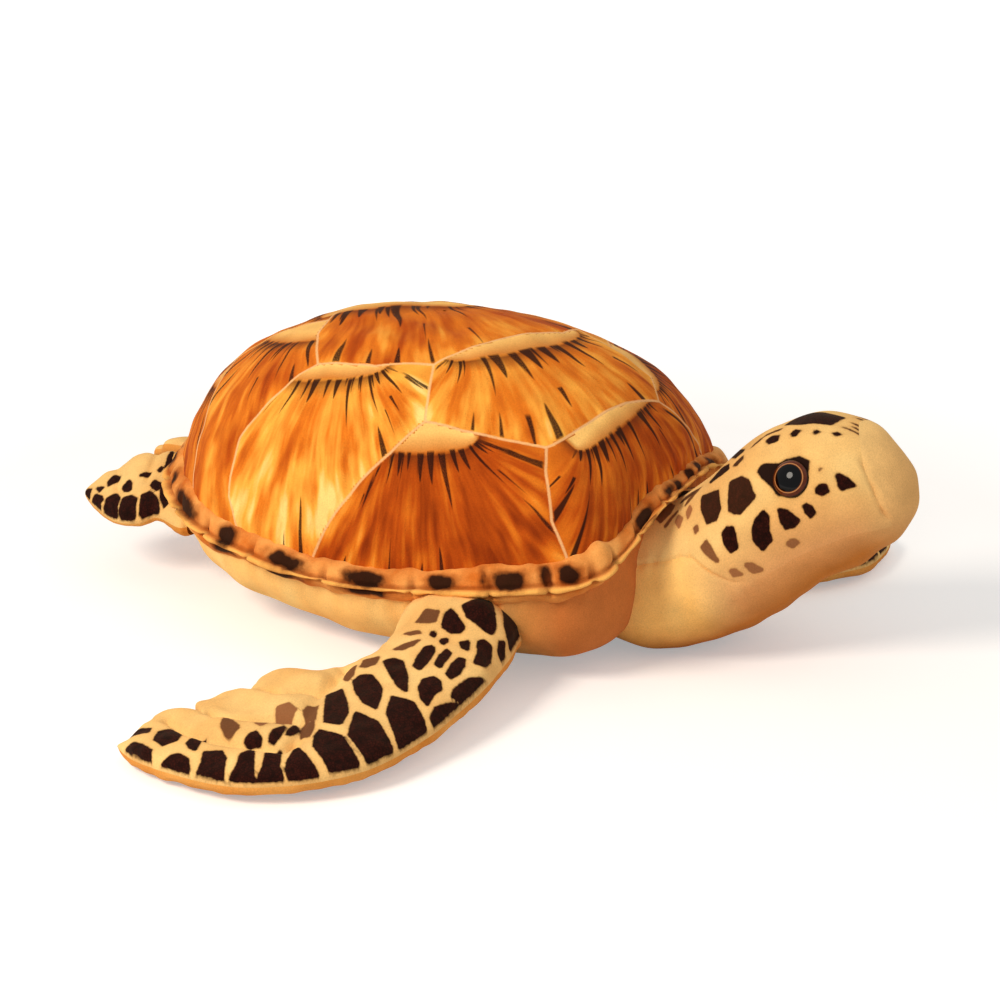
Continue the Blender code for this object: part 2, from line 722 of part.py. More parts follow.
def build():
    for old in list(bpy.data.objects):
        bpy.data.objects.remove(old, do_unlink=True)

    materials = {
        "shell": add_material("printed_shell_plush", (0.76, 0.30, 0.06), 0.9),
        "rim": add_material("printed_rim_plush", (0.62, 0.24, 0.06), 0.9),
        "belly": add_material("plain_belly_plush", (0.82, 0.47, 0.18), 0.9),
        "skin": add_material("printed_skin_plush", (0.72, 0.52, 0.22), 0.9),
        "under": add_material("plain_underside_plush", (0.72, 0.36, 0.10), 0.9),
        "throat": add_material("plain_throat_plush", (0.70, 0.42, 0.14), 0.9),
        "filling": add_material("polyester_filling", (0.85, 0.84, 0.80), 1.0),
        "eye": add_material("eye_plastic", (0.02, 0.01, 0.008), 0.08),
        "washer": add_material("washer_plastic", (0.80, 0.80, 0.78), 0.4),
    }

    edge = rim_edge()
    body = body_skin(edge)
    equator = len(DOME_RING_SHARES)

    def on_dome(ring, column):
        return ring < equator

    def on_belly(ring, column):
        return ring >= equator

    shell_cover = add_panel("shell_cover", body, on_dome, UPWARD, materials["shell"])
    belly_cover = add_panel("belly_cover", body, on_belly, -UPWARD, materials["belly"])
    body_filling = add_filling("body_filling", body, materials["filling"])
    rim = add_rim(body, edge, materials["rim"])
    neck_room = add_neck_cutter()
    for piece in (shell_cover, belly_cover, body_filling, rim):
        cut(piece, neck_room)

    head = head_skin()
    beak_ring = CAP_RINGS + BEAK_FIRST_STATION

    def on_beak(ring, column):
        return ring >= beak_ring

    def on_throat(ring, column):
        low = HEAD_COLUMNS // 2 + THROAT_COLUMNS_DOWN <= column < HEAD_COLUMNS - THROAT_COLUMNS_DOWN
        return ring < beak_ring and low

    def on_head(ring, column):
        return not on_beak(ring, column) and not on_throat(ring, column)

    head_cover = add_panel("head_cover", head, on_head, UPWARD - FORWARD, materials["skin"])
    throat = add_panel("throat_panel", head, on_throat, -UPWARD - FORWARD, materials["throat"])
    beak = add_panel("beak_panel", head, on_beak, FORWARD, materials["throat"])
    head_filling = add_filling("head_filling", head, materials["filling"])
    head_pieces = [head_cover, throat, beak, head_filling]
    for word, (centre, look) in zip(("left", "right"), eye_places(head)):
        head_pieces += add_eye(
            f"eye_{word}", f"eye_washer_{word}", centre, look, [head_cover], head_filling, materials
        )
    hang(head_pieces, add_hinge("neck_hinge", neck_hinge()))

    for word, side, sweep in (("left", 1, FRONT_SWEEP_FORWARD), ("right", -1, 0)):
        root, skin = front_flipper_skin(side, sweep)
        name = f"front_flipper_{word}"
        pieces = add_bag(name, skin, materials)
        seat = add_ellipsoid_cutter(name + "_seat", root[0], root[1], root[3] + SEAM_GAP, root[4] + SEAM_GAP)
        cut(belly_cover, seat)
        cut(body_filling, seat)
        hang(pieces, add_hinge(name + "_hinge", root[0]))

    for word, side in (("left", 1), ("right", -1)):
        root, skin = hind_flipper_skin(side)
        name = f"hind_flipper_{word}"
        pieces = add_bag(name, skin, materials)
        seat = add_ellipsoid_cutter(name + "_seat", root[0], root[1], root[3] + SEAM_GAP, root[4] + SEAM_GAP)
        cut(belly_cover, seat)
        cut(body_filling, seat)
        hang(pieces, add_hinge(name + "_hinge", root[0]))


build()
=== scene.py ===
"""The looks of a stuffed sea turtle sewn from printed short-pile plush. Metres, +Z up, head towards -Y."""

import math

import bpy
import numpy as np
from mathutils import Matrix, Vector, kdtree


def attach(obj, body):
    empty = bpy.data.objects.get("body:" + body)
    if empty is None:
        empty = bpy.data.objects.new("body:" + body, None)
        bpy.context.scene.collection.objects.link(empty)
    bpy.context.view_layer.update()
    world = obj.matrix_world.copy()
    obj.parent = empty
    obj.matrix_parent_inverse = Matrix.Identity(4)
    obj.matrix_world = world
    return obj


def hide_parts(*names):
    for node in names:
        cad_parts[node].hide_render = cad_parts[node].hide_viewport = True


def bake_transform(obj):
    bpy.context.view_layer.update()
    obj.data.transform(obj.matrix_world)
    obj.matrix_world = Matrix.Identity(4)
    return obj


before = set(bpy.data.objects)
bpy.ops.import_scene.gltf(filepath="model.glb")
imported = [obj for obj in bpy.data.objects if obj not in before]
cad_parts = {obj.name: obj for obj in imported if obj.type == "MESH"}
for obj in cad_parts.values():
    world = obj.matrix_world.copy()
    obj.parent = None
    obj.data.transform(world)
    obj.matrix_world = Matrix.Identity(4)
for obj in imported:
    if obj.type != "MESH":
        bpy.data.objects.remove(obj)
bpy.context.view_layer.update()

# ---------------------------------------------------------------- Camera
# A long lens at the turtle's right shoulder, a little above it, as the toy was photographed.
CAMERA_TURN = math.radians(-65.985)
CAMERA_LIFT = math.radians(18.951)
CAMERA_DISTANCE = 1.153616
CAMERA_AIM = Vector((0, -0.031847, 0.057671))
SENSOR_MM = 36.0
LENS_MM = 80.34

away = Vector(
    (
        math.sin(CAMERA_TURN) * math.cos(CAMERA_LIFT),
        -math.cos(CAMERA_TURN) * math.cos(CAMERA_LIFT),
        math.sin(CAMERA_LIFT),
    )
)
camera_data = bpy.data.cameras.new("camera")
camera_data.sensor_width = SENSOR_MM
camera_data.lens = LENS_MM
camera = bpy.data.objects.new("camera", camera_data)
camera.location = CAMERA_AIM + away * CAMERA_DISTANCE
camera.rotation_euler = away.to_track_quat("Z", "Y").to_euler()
bpy.context.collection.objects.link(camera)
bpy.context.scene.camera = camera
bpy.context.scene.view_settings.view_transform = "Standard"


# ---------------------------------------------------------------- Studio
# A pale paper floor under a white sky, one large soft lamp to the left of the camera and a weaker one in
# front of the toy. The paper only looks brighter to the camera, so no extra light falls on the toy.
FLOOR_REACH = 3.0
PAPER = "#E9E7E4"
PAPER_FLECK = "#E6E4E1"
PAPER_GRAIN = 90.0
PAPER_GLOW = 0.34
PAPER_FAR_GLOW = 1.0
# how far from the toy the glow starts to rise, and where it is full
GLOW_RISES_AT = 0.35
GLOW_FULL_AT = 1.1
SKY_LIGHT = 0.50
KEY_WATTS = 13.6
KEY_SIZE = 0.48
KEY_PLACE = Vector((-1.02, 0.38, 0.94))
FILL_WATTS = 3.5
FILL_SIZE = 1.4
FILL_PLACE = Vector((0.2, -1.3, 1.3))
LAMP_COLOUR = "#FFF4E6"


def linear(colour):
    """An sRGB hex colour as linear red, green, blue and alpha."""
    shares = [int(colour[place : place + 2], 16) / 255 for place in (1, 3, 5)]
    return (*(c / 12.92 if c <= 0.04045 else ((c + 0.055) / 1.055) ** 2.4 for c in shares), 1.0)


def add(kind, *feeds, out=0, **settings):
    """Add a node to the tree in hand and return one of its outputs. Feeds go into its sockets in order. A
    setting is a property, a socket's name with _ for a space, or its number after an i. A colour is hex."""
    made = tree.nodes.new("ShaderNode" + kind)
    wanted = {f"i{place}": feed for place, feed in enumerate(feeds) if feed is not None}
    for key, value in settings.items():
        if hasattr(made, key):
            setattr(made, key, value)
        else:
            wanted[key] = value
    for key, value in wanted.items():
        numbered = key[0] == "i" and key[1:].isdigit()
        socket = made.inputs[int(key[1:]) if numbered else key.replace("_", " ")]
        if isinstance(value, bpy.types.NodeSocket):
            tree.links.new(value, socket)
        else:
            socket.default_value = linear(value) if isinstance(value, str) else value
    return made.outputs[out] if made.outputs else made


def new_material(name):
    """A material with nothing in it but its output."""
    material = bpy.data.materials.new(name)
    material.use_nodes = True
    material.node_tree.nodes.clear()
    return material, material.node_tree


def add_piece(name, points, faces, material):
    """A mesh object from an array of points and a list or array of faces."""
    mesh = bpy.data.meshes.new(name)
    mesh.from_pydata(np.asarray(points).tolist(), [], np.asarray(faces).tolist())
    mesh.polygons.foreach_set("use_smooth", np.ones(len(mesh.polygons), bool))
    mesh.materials.append(material)
    mesh.update()
    made = bpy.data.objects.new(name, mesh)
    bpy.context.collection.objects.link(made)
    return made


def seen_directly():
    """1 for rays from the camera or off a glossy eye, 0 for light on its way to the toy."""
    to_camera = add("LightPath", out="Is Camera Ray")
    return add("Math", to_camera, add("LightPath", out="Is Glossy Ray"), operation="MAXIMUM")


paper, tree = new_material("pale_paper_floor")
seen = seen_directly()
fibre = add("TexNoise", Scale=PAPER_GRAIN, Detail=3.0)
tint = add("Mix", fibre, data_type="RGBA", i6=PAPER_FLECK, i7=PAPER, out=2)
lit = add("BsdfDiffuse", tint)
from_toy = add("VectorMath", add("TexCoord", out="Object"), operation="LENGTH", out=1)
brighter = add("MapRange", from_toy, GLOW_RISES_AT, GLOW_FULL_AT, PAPER_GLOW, PAPER_FAR_GLOW)
glow = add("Emission", "#FFFFFF", add("Math", seen, brighter, operation="MULTIPLY"))
add("OutputMaterial", add("AddShader", lit, glow))
corners = [(x * FLOOR_REACH, y * FLOOR_REACH, 0) for x, y in ((-1, -1), (1, -1), (1, 1), (-1, 1))]
floor = add_piece("floor", corners, [(0, 1, 2, 3)], paper)

world = bpy.data.worlds.new("studio")
bpy.context.scene.world = world
world.use_nodes = True
tree = world.node_tree
tree.nodes.clear()
seen = seen_directly()
sky = add("Background", "#FFFFFF", SKY_LIGHT)
backdrop = add("Background", "#FFFFFF", 1.0)
add("OutputWorld", add("MixShader", seen, sky, backdrop))

for name, place, watts, size in (
    ("key_lamp", KEY_PLACE, KEY_WATTS, KEY_SIZE),
    ("fill_lamp", FILL_PLACE, FILL_WATTS, FILL_SIZE),
):
    lamp_data = bpy.data.lights.new(name, "AREA")
    lamp_data.energy = watts
    lamp_data.shape = "DISK"
    lamp_data.size = size
    lamp_data.color = linear(LAMP_COLOUR)[:3]
    lamp = bpy.data.objects.new(name, lamp_data)
    lamp.location = place
    lamp.rotation_euler = (place - CAMERA_AIM).to_track_quat("Z", "Y").to_euler()
    bpy.context.collection.objects.link(lamp)


# ---------------------------------------------------------------- Shell cover
# One domed panel of short-pile plush, printed with scutes: a pale almond at each scute's upper border, a
# fringe of dark dashes under it, and gold streaks on rust. It is sewn to the belly under the rim band.
MM = 0.001
SHELL_LENGTH = 0.285
SHELL_WIDTH = 0.220
SHELL_TOP = 0.1560
SHELL_NOSE = 0.135
CROWN = np.array([0, -0.001])
RIM_HEIGHT = 0.083
RIM_OVERHANG = 0.0075
DOME_SQUARENESS = 2.05
DOME_CORNER_SQUARENESS = 2.5
CROWN_HOLE_SHARE = 0.004
BODY_COLUMNS = 640
DOME_RINGS = 118
CURVE_STEPS = 24
LUMP_WAVES = 14
LUMP_WAVE_SUM = 3.7
# the rim from the nose to the tail on one side: shares of half the width, of the length and of the height
RIM_HALF = (
    (0.000, 0.000, 1.00),
    (0.370, 0.008, 0.93),
    (0.700, 0.024, 0.79),
    (0.880, 0.055, 0.70),
    (0.945, 0.150, 0.64),
    (0.990, 0.330, 0.555),
    (0.990, 0.520, 0.545),
    (0.920, 0.690, 0.56),
    (0.770, 0.840, 0.61),
    (0.500, 0.945, 0.70),
    (0.250, 0.988, 0.77),
    (0.000, 1.000, 0.81),
)


def curve(rows, count, before, after, weights=(1, 1, 1)):
    """Rows on a smooth curve through all the given ones, count of them and evenly spaced. The rows before
    and after give the slope at its ends; the weights scale the first columns, which measure the length."""
    rows = np.vstack([before, rows, after]).astype(float)
    fine = []
    steps = np.linspace(0, 1, CURVE_STEPS, endpoint=False)[:, None]
    for a, b, c, d in zip(rows, rows[1:], rows[2:], rows[3:]):
        bend = 2 * a - 5 * b + 4 * c - d
        twist = 3 * b - a - 3 * c + d
        fine.append(0.5 * (2 * b + (c - a) * steps + bend * steps**2 + twist * steps**3))
    fine = np.vstack([*fine, rows[-2][None]])
    stride = np.diff(fine[:, : len(weights)], axis=0) * np.array(weights)
    travelled = np.concatenate([[0], np.cumsum(np.linalg.norm(stride, axis=1))])
    goals = np.linspace(0, travelled[-1], count)
    return np.stack([np.interp(goals, travelled, column) for column in fine.T], axis=1)


def lumps(points, size, seed):
    """A smooth field of bumps of about one size, between about -1 and 1, from seeded plane waves."""
    dice = np.random.default_rng(seed)
    total = np.zeros(len(points))
    for _ in range(LUMP_WAVES):
        way = dice.normal(size=3)
        way *= math.tau / (size * dice.uniform(0.75, 1.5)) / np.linalg.norm(way)
        total += np.sin(points @ way + dice.uniform(0, math.tau))
    return total / LUMP_WAVE_SUM


def grid_faces(rings, columns):
    """Quads of a grid of rings, each with the same number of points, wound to face outwards."""
    ring, column = np.meshgrid(np.arange(rings - 1), np.arange(columns), indexing="ij")
    after = (column + 1) % columns
    start = ring * columns
    quads = [start + column, start + columns + column, start + columns + after, start + after]
    return np.stack(quads, -1).reshape(-1, 4)


def grid_normals(grid):
    """Outward normals of a closed grid of points (rings, columns, 3)."""
    along = np.gradient(grid, axis=0)
    around = np.roll(grid, -1, axis=1) - np.roll(grid, 1, axis=1)
    normal = np.cross(along, around)
    length = np.linalg.norm(normal, axis=2, keepdims=True)
    return normal / np.maximum(length, 1e-12)


def give(piece, name, values):
    """Store one number for each point of a piece, for its material to read."""
    stored = piece.data.attributes.new(name, "FLOAT", "POINT").data
    stored.foreach_set("value", np.asarray(values, np.float32))


mirrored_start = [(-RIM_HALF[1][0], *RIM_HALF[1][1:])]
mirrored_end = [(-RIM_HALF[-2][0], *RIM_HALF[-2][1:])]
half = curve(RIM_HALF, BODY_COLUMNS // 2 + 1, mirrored_start, mirrored_end, (SHELL_WIDTH / 2, SHELL_LENGTH))
half = half * (SHELL_WIDTH / 2, SHELL_LENGTH, RIM_HEIGHT) - (0, SHELL_NOSE, 0)
rim_edge = np.vstack([half, half[-2:0:-1] * (-1, 1, 1)])
rim_level = rim_edge[:, :2] - CROWN
rim_out = rim_level / np.linalg.norm(rim_level, axis=1, keepdims=True)
widest = rim_level - rim_out * RIM_OVERHANG
rim_arc = np.concatenate([[0], np.cumsum(np.linalg.norm(np.diff(rim_edge, axis=0), axis=1))])
bearing = np.arctan2(-widest[:, 0], -widest[:, 1])
RIM_LENGTH = rim_arc[BODY_COLUMNS // 2] * 2

rounded = widest / np.linalg.norm(widest * (2 / SHELL_WIDTH, 2 / SHELL_LENGTH), axis=1, keepdims=True)


def squared_quarter(lean, squareness):
    """Shares out and up of a quarter of a squared circle, at a lean from straight up (0 to a right angle)."""
    bulge = (np.sin(lean) ** squareness + np.cos(lean) ** squareness) ** (1 / squareness)
    return np.sin(lean) / bulge, np.cos(lean) / bulge


def dome_points(out_share, up_share, rounded, widest, height):
    """Points of the dome for shares out from under the crown and up from the rim."""
    square = out_share[..., None] ** DOME_CORNER_SQUARENESS
    flat = (rounded * (1 - square) + widest * square) * out_share[..., None] + CROWN
    return np.concatenate([flat, (height + (SHELL_TOP - height) * up_share)[..., None]], -1)


lean = np.linspace(CROWN_HOLE_SHARE, 1, DOME_RINGS) * math.pi / 2
out_share, up_share = squared_quarter(lean, DOME_SQUARENESS)
dome = dome_points(
    np.repeat(out_share[:, None], BODY_COLUMNS, 1),
    np.repeat(up_share[:, None], BODY_COLUMNS, 1),
    rounded[None],
    widest[None],
    np.repeat(rim_edge[None, :, 2], DOME_RINGS, 0),
)

# The scutes on a round map of the dome, with the crown in the middle, the rim 100 from it, the nose up and
# the turtle's right to the right. Each has its outline, the middle of its almond, the way its fan opens
# (degrees from the map's right, anticlockwise), half of the almond's length and depth, and how golden it is.
SCUTES = {
    "V1": (
        [(39.4, 47), (45.3, 50.6), (55.5, 59.7), (61.5, 70.5), (66, 80), (0, 105), (-48, 95), (-26.6, 86.3)]
        + [(-14.5, 79.3), (-4, 67), (11.4, 59.4), (26.3, 53.7)],
        (16, 57.5), 78, 20, 7, 0.36,
    ),
    "V2": (
        [(31.2, 11.3), (49.9, 16.7), (47.5, 27.9), (43.4, 38.6), (39.4, 47), (26.3, 53.7), (11.4, 59.4)]
        + [(-4, 67), (-11.3, 57), (-8.6, 42), (-11, 31), (-2.2, 29.6), (5.4, 23.9), (15.4, 19), (24.4, 14.9)],
        (10, 22.5), 62, 20, 6.5, 0.62,
    ),
    "V3": (
        [(31.2, 11.3), (24.4, 14.9), (15.4, 19), (5.4, 23.9), (-2.2, 29.6), (-11, 31), (-24, 5), (-22, -26)]
        + [(6.5, -27.6), (15, -28.3), (30.7, -25.2), (35.5, -6.4)],
        (-6, -14), 20, 20, 7, 0.46,
    ),
    "C1": (
        [(49.9, 16.7), (62.4, 9.1), (75.8, -3.8), (86.1, -16.1), (94.3, -24), (104, -30), (108, 20), (80, 90)]
        + [(66, 80), (61.5, 70.5), (55.5, 59.7), (45.3, 50.6), (39.4, 47), (43.4, 38.6), (47.5, 27.9)],
        (53, 17), 22, 17, 7, 0.31,
    ),
    "C2": (
        [(31.2, 11.3), (35.5, -6.4), (30.7, -25.2), (38.6, -34.8), (48.5, -48.9), (57.4, -54.1)]
        + [(63.8, -57.8), (77, -58), (88, -58), (104, -30), (94.3, -24), (86.1, -16.1), (75.8, -3.8)]
        + [(62.4, 9.1), (49.9, 16.7)],
        (32.5, -19), -8, 17, 7, 0.72,
    ),
    "C3": (
        [(30.7, -25.2), (15, -28.3), (6.5, -27.6), (3, -42), (10, -58), (33, -66), (52, -78), (66, -90)]
        + [(88, -58), (77, -58), (63.8, -57.8), (57.4, -54.1), (48.5, -48.9), (38.6, -34.8)],
        (9, -36), -32, 15, 6, 0.50,
    ),
    "C4": (
        [(10, -58), (33, -66), (52, -78), (66, -90), (40, -110), (27, -100), (22, -80)],
        (14, -62), -58, 9, 4, 0.45,
    ),
    "V4": (
        [(6.5, -27.6), (-22, -26), (-27, -48), (-12, -60), (10, -58), (3, -42)],
        (-8, -30), -90, 12, 4, 0.50,
    ),
    "V5": (
        [(10, -58), (-12, -60), (-24, -80), (-30, -105), (27, -110), (22, -80)],
        (0, -62), -90, 9, 4, 0.40,
    ),
    "L1": (
        [(-4, 67), (-14.5, 79.3), (-26.6, 86.3), (-48, 95), (-80, 85), (-108, 10), (-100, -20), (-70, 5)]
        + [(-40, 30), (-8.6, 42), (-11.3, 57)],
        (-13, 50), 158, 14, 6, 0.34,
    ),
    "L2": (
        [(-8.6, 42), (-40, 30), (-70, 5), (-100, -20), (-95, -60), (-78, -64), (-60, -58), (-40, -42)]
        + [(-22, -26), (-24, 5), (-11, 31)],
        (-24, 5), 180, 17, 7, 0.66,
    ),
    "L3": (
        [(-22, -26), (-40, -42), (-60, -58), (-78, -64), (-95, -60), (-80, -88), (-58, -80), (-45, -68)]
        + [(-27, -48)],
        (-26, -39), 210, 13, 6, 0.50,
    ),
    "L4": (
        [(-27, -48), (-45, -68), (-58, -80), (-80, -88), (-50, -105), (-30, -105), (-24, -80), (-12, -60)],
        (-21, -56), 240, 9, 4, 0.40,
    ),
}
MAP_RIM = 100
# millimetres to a unit of the map near the crown, and from the crown to the rim over the dome
MAP_UNIT = 1.4
CROWN_TO_RIM_MM = 150
# between the points of a border, and out from it to the scutes on its two sides
BORDER_STEP = 0.25
BORDER_SIDE_STEP = 0.4
# how far the stuffing's broad and small lumps and the gathers at the rim seam raise the dome
DOME_LUMP = 0.0007
DOME_SMALL_LUMP = 0.0003
DOME_PUCKER = 0.0006
PUCKER_PITCH = 0.009
PUCKER_REACH_MM = 9


def inside(points, outline):
    """Which points of a flat map lie in an outline."""
    x, y = points[:, 0], points[:, 1]
    found = np.zeros(len(points), bool)
    for (x0, y0), (x1, y1) in zip(outline, outline[1:] + outline[:1]):
        if y0 != y1:
            found ^= ((y0 > y) != (y1 > y)) & (x < (x1 - x0) * (y - y0) / (y1 - y0) + x0)
    return found


def outline_distance(points, outline, closed=True):
    """How far points of a flat map lie from an outline."""
    best = np.full(len(points), np.inf)
    stops = outline[1:] + outline[:1] if closed else outline[1:]
    for start, stop in zip(outline, stops):
        start, stop = np.array(start, float), np.array(stop, float)
        way = stop - start
        share = np.clip((points - start) @ way / (way @ way), 0, 1)
        best = np.minimum(best, np.linalg.norm(points - start - share[:, None] * way, axis=1))
    return best


def which_scute(places):
    """The number of the scute at each place on the map, the nearest one where outlines leave a gap."""
    chosen = np.full(len(places), -1)
    for number, scute in enumerate(SCUTES.values()):
        chosen[inside(places, scute[0])] = number
    lost = chosen < 0
    if lost.any():
        nearest = [outline_distance(places[lost], scute[0]) for scute in SCUTES.values()]
        chosen[lost] = np.argmin(nearest, axis=0)
    return chosen


dome_share = (np.arctan2(out_share, up_share) / (math.pi / 2) * MAP_RIM)[:, None]
dome_map = np.stack([dome_share * np.sin(bearing), dome_share * np.cos(bearing)], -1).reshape(-1, 2)
scute_of = which_scute(dome_map)

# The borders between scutes, as points in space. Scutes that touch get different numbers, and each bit of
# the numbers gives a distance that changes its sign over a border, so the border is read sharply.
borders, pairs = [], []
for scute in SCUTES.values():
    for start, stop in zip(scute[0], scute[0][1:] + scute[0][:1]):
        start, stop = np.array(start, float), np.array(stop, float)
        if min(np.linalg.norm(start), np.linalg.norm(stop)) > MAP_RIM - 1:
            continue
        steps = np.linspace(0, 1, max(2, int(np.linalg.norm(stop - start) / BORDER_STEP)))[:, None]
        places = start + (stop - start) * steps
        side = np.array([start[1] - stop[1], stop[0] - start[0]])
        side = side / np.linalg.norm(side) * BORDER_SIDE_STEP
        a, b = which_scute(places + side), which_scute(places - side)
        keep = (a != b) & (np.linalg.norm(places, axis=1) < MAP_RIM + 1)
        borders.append(places[keep])
        pairs.append(np.stack([a[keep], b[keep]], 1))
borders, pairs = np.vstack(borders), np.vstack(pairs)
touching = {tuple(sorted(pair)) for pair in pairs.tolist()}
number_of = {}
for scute in range(len(SCUTES)):
    taken = {number_of[other] for pair in touching if scute in pair for other in pair if other in number_of}
    number_of[scute] = next(number for number in range(8) if number not in taken)
number_of = np.array([number_of[scute] for scute in range(len(SCUTES))])

border_bearing = np.arctan2(borders[:, 0], borders[:, 1])
order = np.argsort(bearing)
turns = np.concatenate([bearing[order] - math.tau, bearing[order], bearing[order] + math.tau])


def at_bearing(values, wanted):
    """Values of the rim's columns read at any bearing."""
    return np.stack([np.interp(wanted, turns, np.tile(column[order], 3)) for column in values.T], 1)


border_lean = np.minimum(np.linalg.norm(borders, axis=1) / MAP_RIM, 1) * math.pi / 2
border_points = dome_points(
    *squared_quarter(border_lean, DOME_SQUARENESS),
    at_bearing(rounded, border_bearing),
    at_bearing(widest, border_bearing),
    at_bearing(rim_edge[:, 2:], border_bearing)[:, 0],
)
dome_flat = dome.reshape(-1, 3)


def distance_to(points, targets):
    """How far each point is from the nearest target, in millimetres."""
    tree = kdtree.KDTree(len(targets))
    for index, target in enumerate(targets.tolist()):
        tree.insert(target, index)
    tree.balance()
    return np.array([tree.find(point)[2] for point in points.tolist()]) / MM


signed = []
for bit in (1, 2, 4):
    differs = (number_of[pairs[:, 0]] & bit) != (number_of[pairs[:, 1]] & bit)
    if not differs.any():
        continue
    away_from = distance_to(dome_flat, border_points[differs])
    signed.append(np.where(number_of[scute_of] & bit, away_from, -away_from))
border_distance = np.abs(np.array(signed)).min(axis=0)

# Each scute's fan: the rays leave the almond square to its edge, as hyperbolas leave an ellipse. Only the
# almond of V3 has rays on all its sides.
ray = np.zeros(len(dome_map))
reach = np.zeros(len(dome_map))
tone = np.zeros(len(dome_map))
ahead = np.ones(len(dome_map))
for number, (name, (_, middle, opens, half_length, depth, golden)) in enumerate(SCUTES.items()):
    mine = scute_of == number
    offset = dome_map[mine] - middle
    c, s = math.cos(math.radians(opens)), math.sin(math.radians(opens))
    deep = offset[:, 0] * c + offset[:, 1] * s
    across = -offset[:, 0] * s + offset[:, 1] * c
    focal = math.sqrt(half_length**2 - depth**2)
    if name == "V3":
        place = np.arccosh((across + 1j * deep) / focal + 0j)
        turned = np.where(place.imag < 0, math.tau + place.imag, place.imag)
    else:
        place = np.arccosh((across + 1j * np.maximum(deep, 0.01)) / focal + 0j)
        turned = place.imag
        ahead[mine] = np.clip(deep / 1.5, 0, 1)
    ray[mine] = turned
    reach[mine] = (np.sinh(place.real) * focal - depth) * MAP_UNIT
    tone[mine] = golden
rim_distance = (1 - np.linalg.norm(dome_map, axis=1) / MAP_RIM) * CROWN_TO_RIM_MM

dome_normals = grid_normals(dome).reshape(-1, 3)
arc_at = np.tile(rim_arc, DOME_RINGS)
pucker = np.exp(-rim_distance / PUCKER_REACH_MM)
pucker *= np.sin(arc_at / PUCKER_PITCH * math.tau + 2 * lumps(dome_flat, 0.03, 5))
dome_raise = DOME_LUMP * lumps(dome_flat, 0.055, 1) + DOME_SMALL_LUMP * lumps(dome_flat, 0.018, 2)
dome_raise += DOME_PUCKER * pucker
dome_skin = dome_flat + dome_normals * dome_raise[:, None]

# Short-pile polyester plush, printed. The pile is dull with a soft bloom at grazing light; tufts and the
# brushed lie of the pile show as fine grain, and the lie is also painted into the colour as light and dark
# patches of sheen. Its tufts are drawn at 0.7 mm, coarser than the real ones.
DASH_BROWN = "#2C1008"
BORDER_CREAM = "#F0BC82"
ALMOND_GOLD = "#FFCB74"
RUST = "#B34B0C"
ORANGE = "#DB751C"
GOLD = "#F9AC42"
RUST_SHADE = "#8A3206"
PALE_GOLD = "#FFD27C"
ALMOND_SHADE = "#C66E22"
SMEARED_BROWN = "#5E2208"
PILE_ROUGHNESS = 0.92
PILE_GLOSS = 0.08
PILE_SHEEN = 0.05
SHEEN_ROUGHNESS = 0.5
FRINGE_DASHES = 15.0
MIDDLE_DASHES = 17.0
FOOT_DASHES = 15.0
# how far the rays wander, how far behind the almond's edge they seem to start, and how a dash thins out
RAY_WANDER = 0.07
RAY_START_MM = 24.0
DASH_TAPER = 0.42
TUFT_HEIGHT = 0.0004
NAP_HEIGHT = 0.0009
PILE_GRAIN = 1 / 0.0007
NAP_GRAIN = 1 / 0.012


def grain_of(place):
    """The fine tufts and the brushed lie of short pile, as two noises over a place. The second also gives
    the painted sheen patches.
    """
    return (
        add("TexNoise", place, Scale=PILE_GRAIN, Detail=2.0, Roughness=0.6),
        add("TexNoise", place, Scale=NAP_GRAIN, Detail=3.0, Roughness=0.5),
    )


def finish_plush(painted, grain, nap_and_sheen, sheen_tint="#FFD9A8"):
    """Pile over a printed colour: its grain darkens and lifts the surface, the lie of the pile paints light
    and dark patches of sheen into it, and there is a soft bloom at the edges.
    """
    tuft_shade = add("MapRange", grain, 0.25, 0.75, 0.86, 1.10)
    # the lie of the pile: painted sheen, as broad light and dark patches in the colour
    shade = add("Math", tuft_shade, add("MapRange", nap_and_sheen, 0.3, 0.7, 0.93, 1.06), operation="MULTIPLY")
    grey = add("CombineXYZ", shade, shade, shade)
    colour = add("Mix", 1.0, data_type="RGBA", blend_type="MULTIPLY", i6=painted, i7=grey, out=2)
    tufts = add("Bump", Strength=0.5, Distance=TUFT_HEIGHT, Height=grain)
    lie = add("Bump", Strength=0.4, Distance=NAP_HEIGHT, Height=nap_and_sheen, Normal=tufts)
    cloth = add(
        "BsdfPrincipled",
        colour,
        Roughness=PILE_ROUGHNESS,
        Specular_IOR_Level=PILE_GLOSS,
        Sheen_Weight=PILE_SHEEN,
        Sheen_Roughness=SHEEN_ROUGHNESS,
        Sheen_Tint=sheen_tint,
        Normal=lie,
    )
    add("OutputMaterial", cloth)


printed_shell, tree = new_material("printed_short_pile_plush_shell")
ray_at, reach_at, foot_at, tone_at, ahead_at, scute_at = (
    add("Attribute", attribute_name=name, out="Fac")
    for name in ("ray", "reach", "foot", "tone", "ahead", "scute")
)
place_at = add("TexCoord", out="Object")
wobble = add("TexNoise", place_at, Scale=32.0, Detail=1.0)
wobbled = add("Math", add("Math", wobble, -0.5), RAY_WANDER, ray_at, operation="MULTIPLY_ADD")
across_mm = add("Math", reach_at, RAY_START_MM)
darkness = None
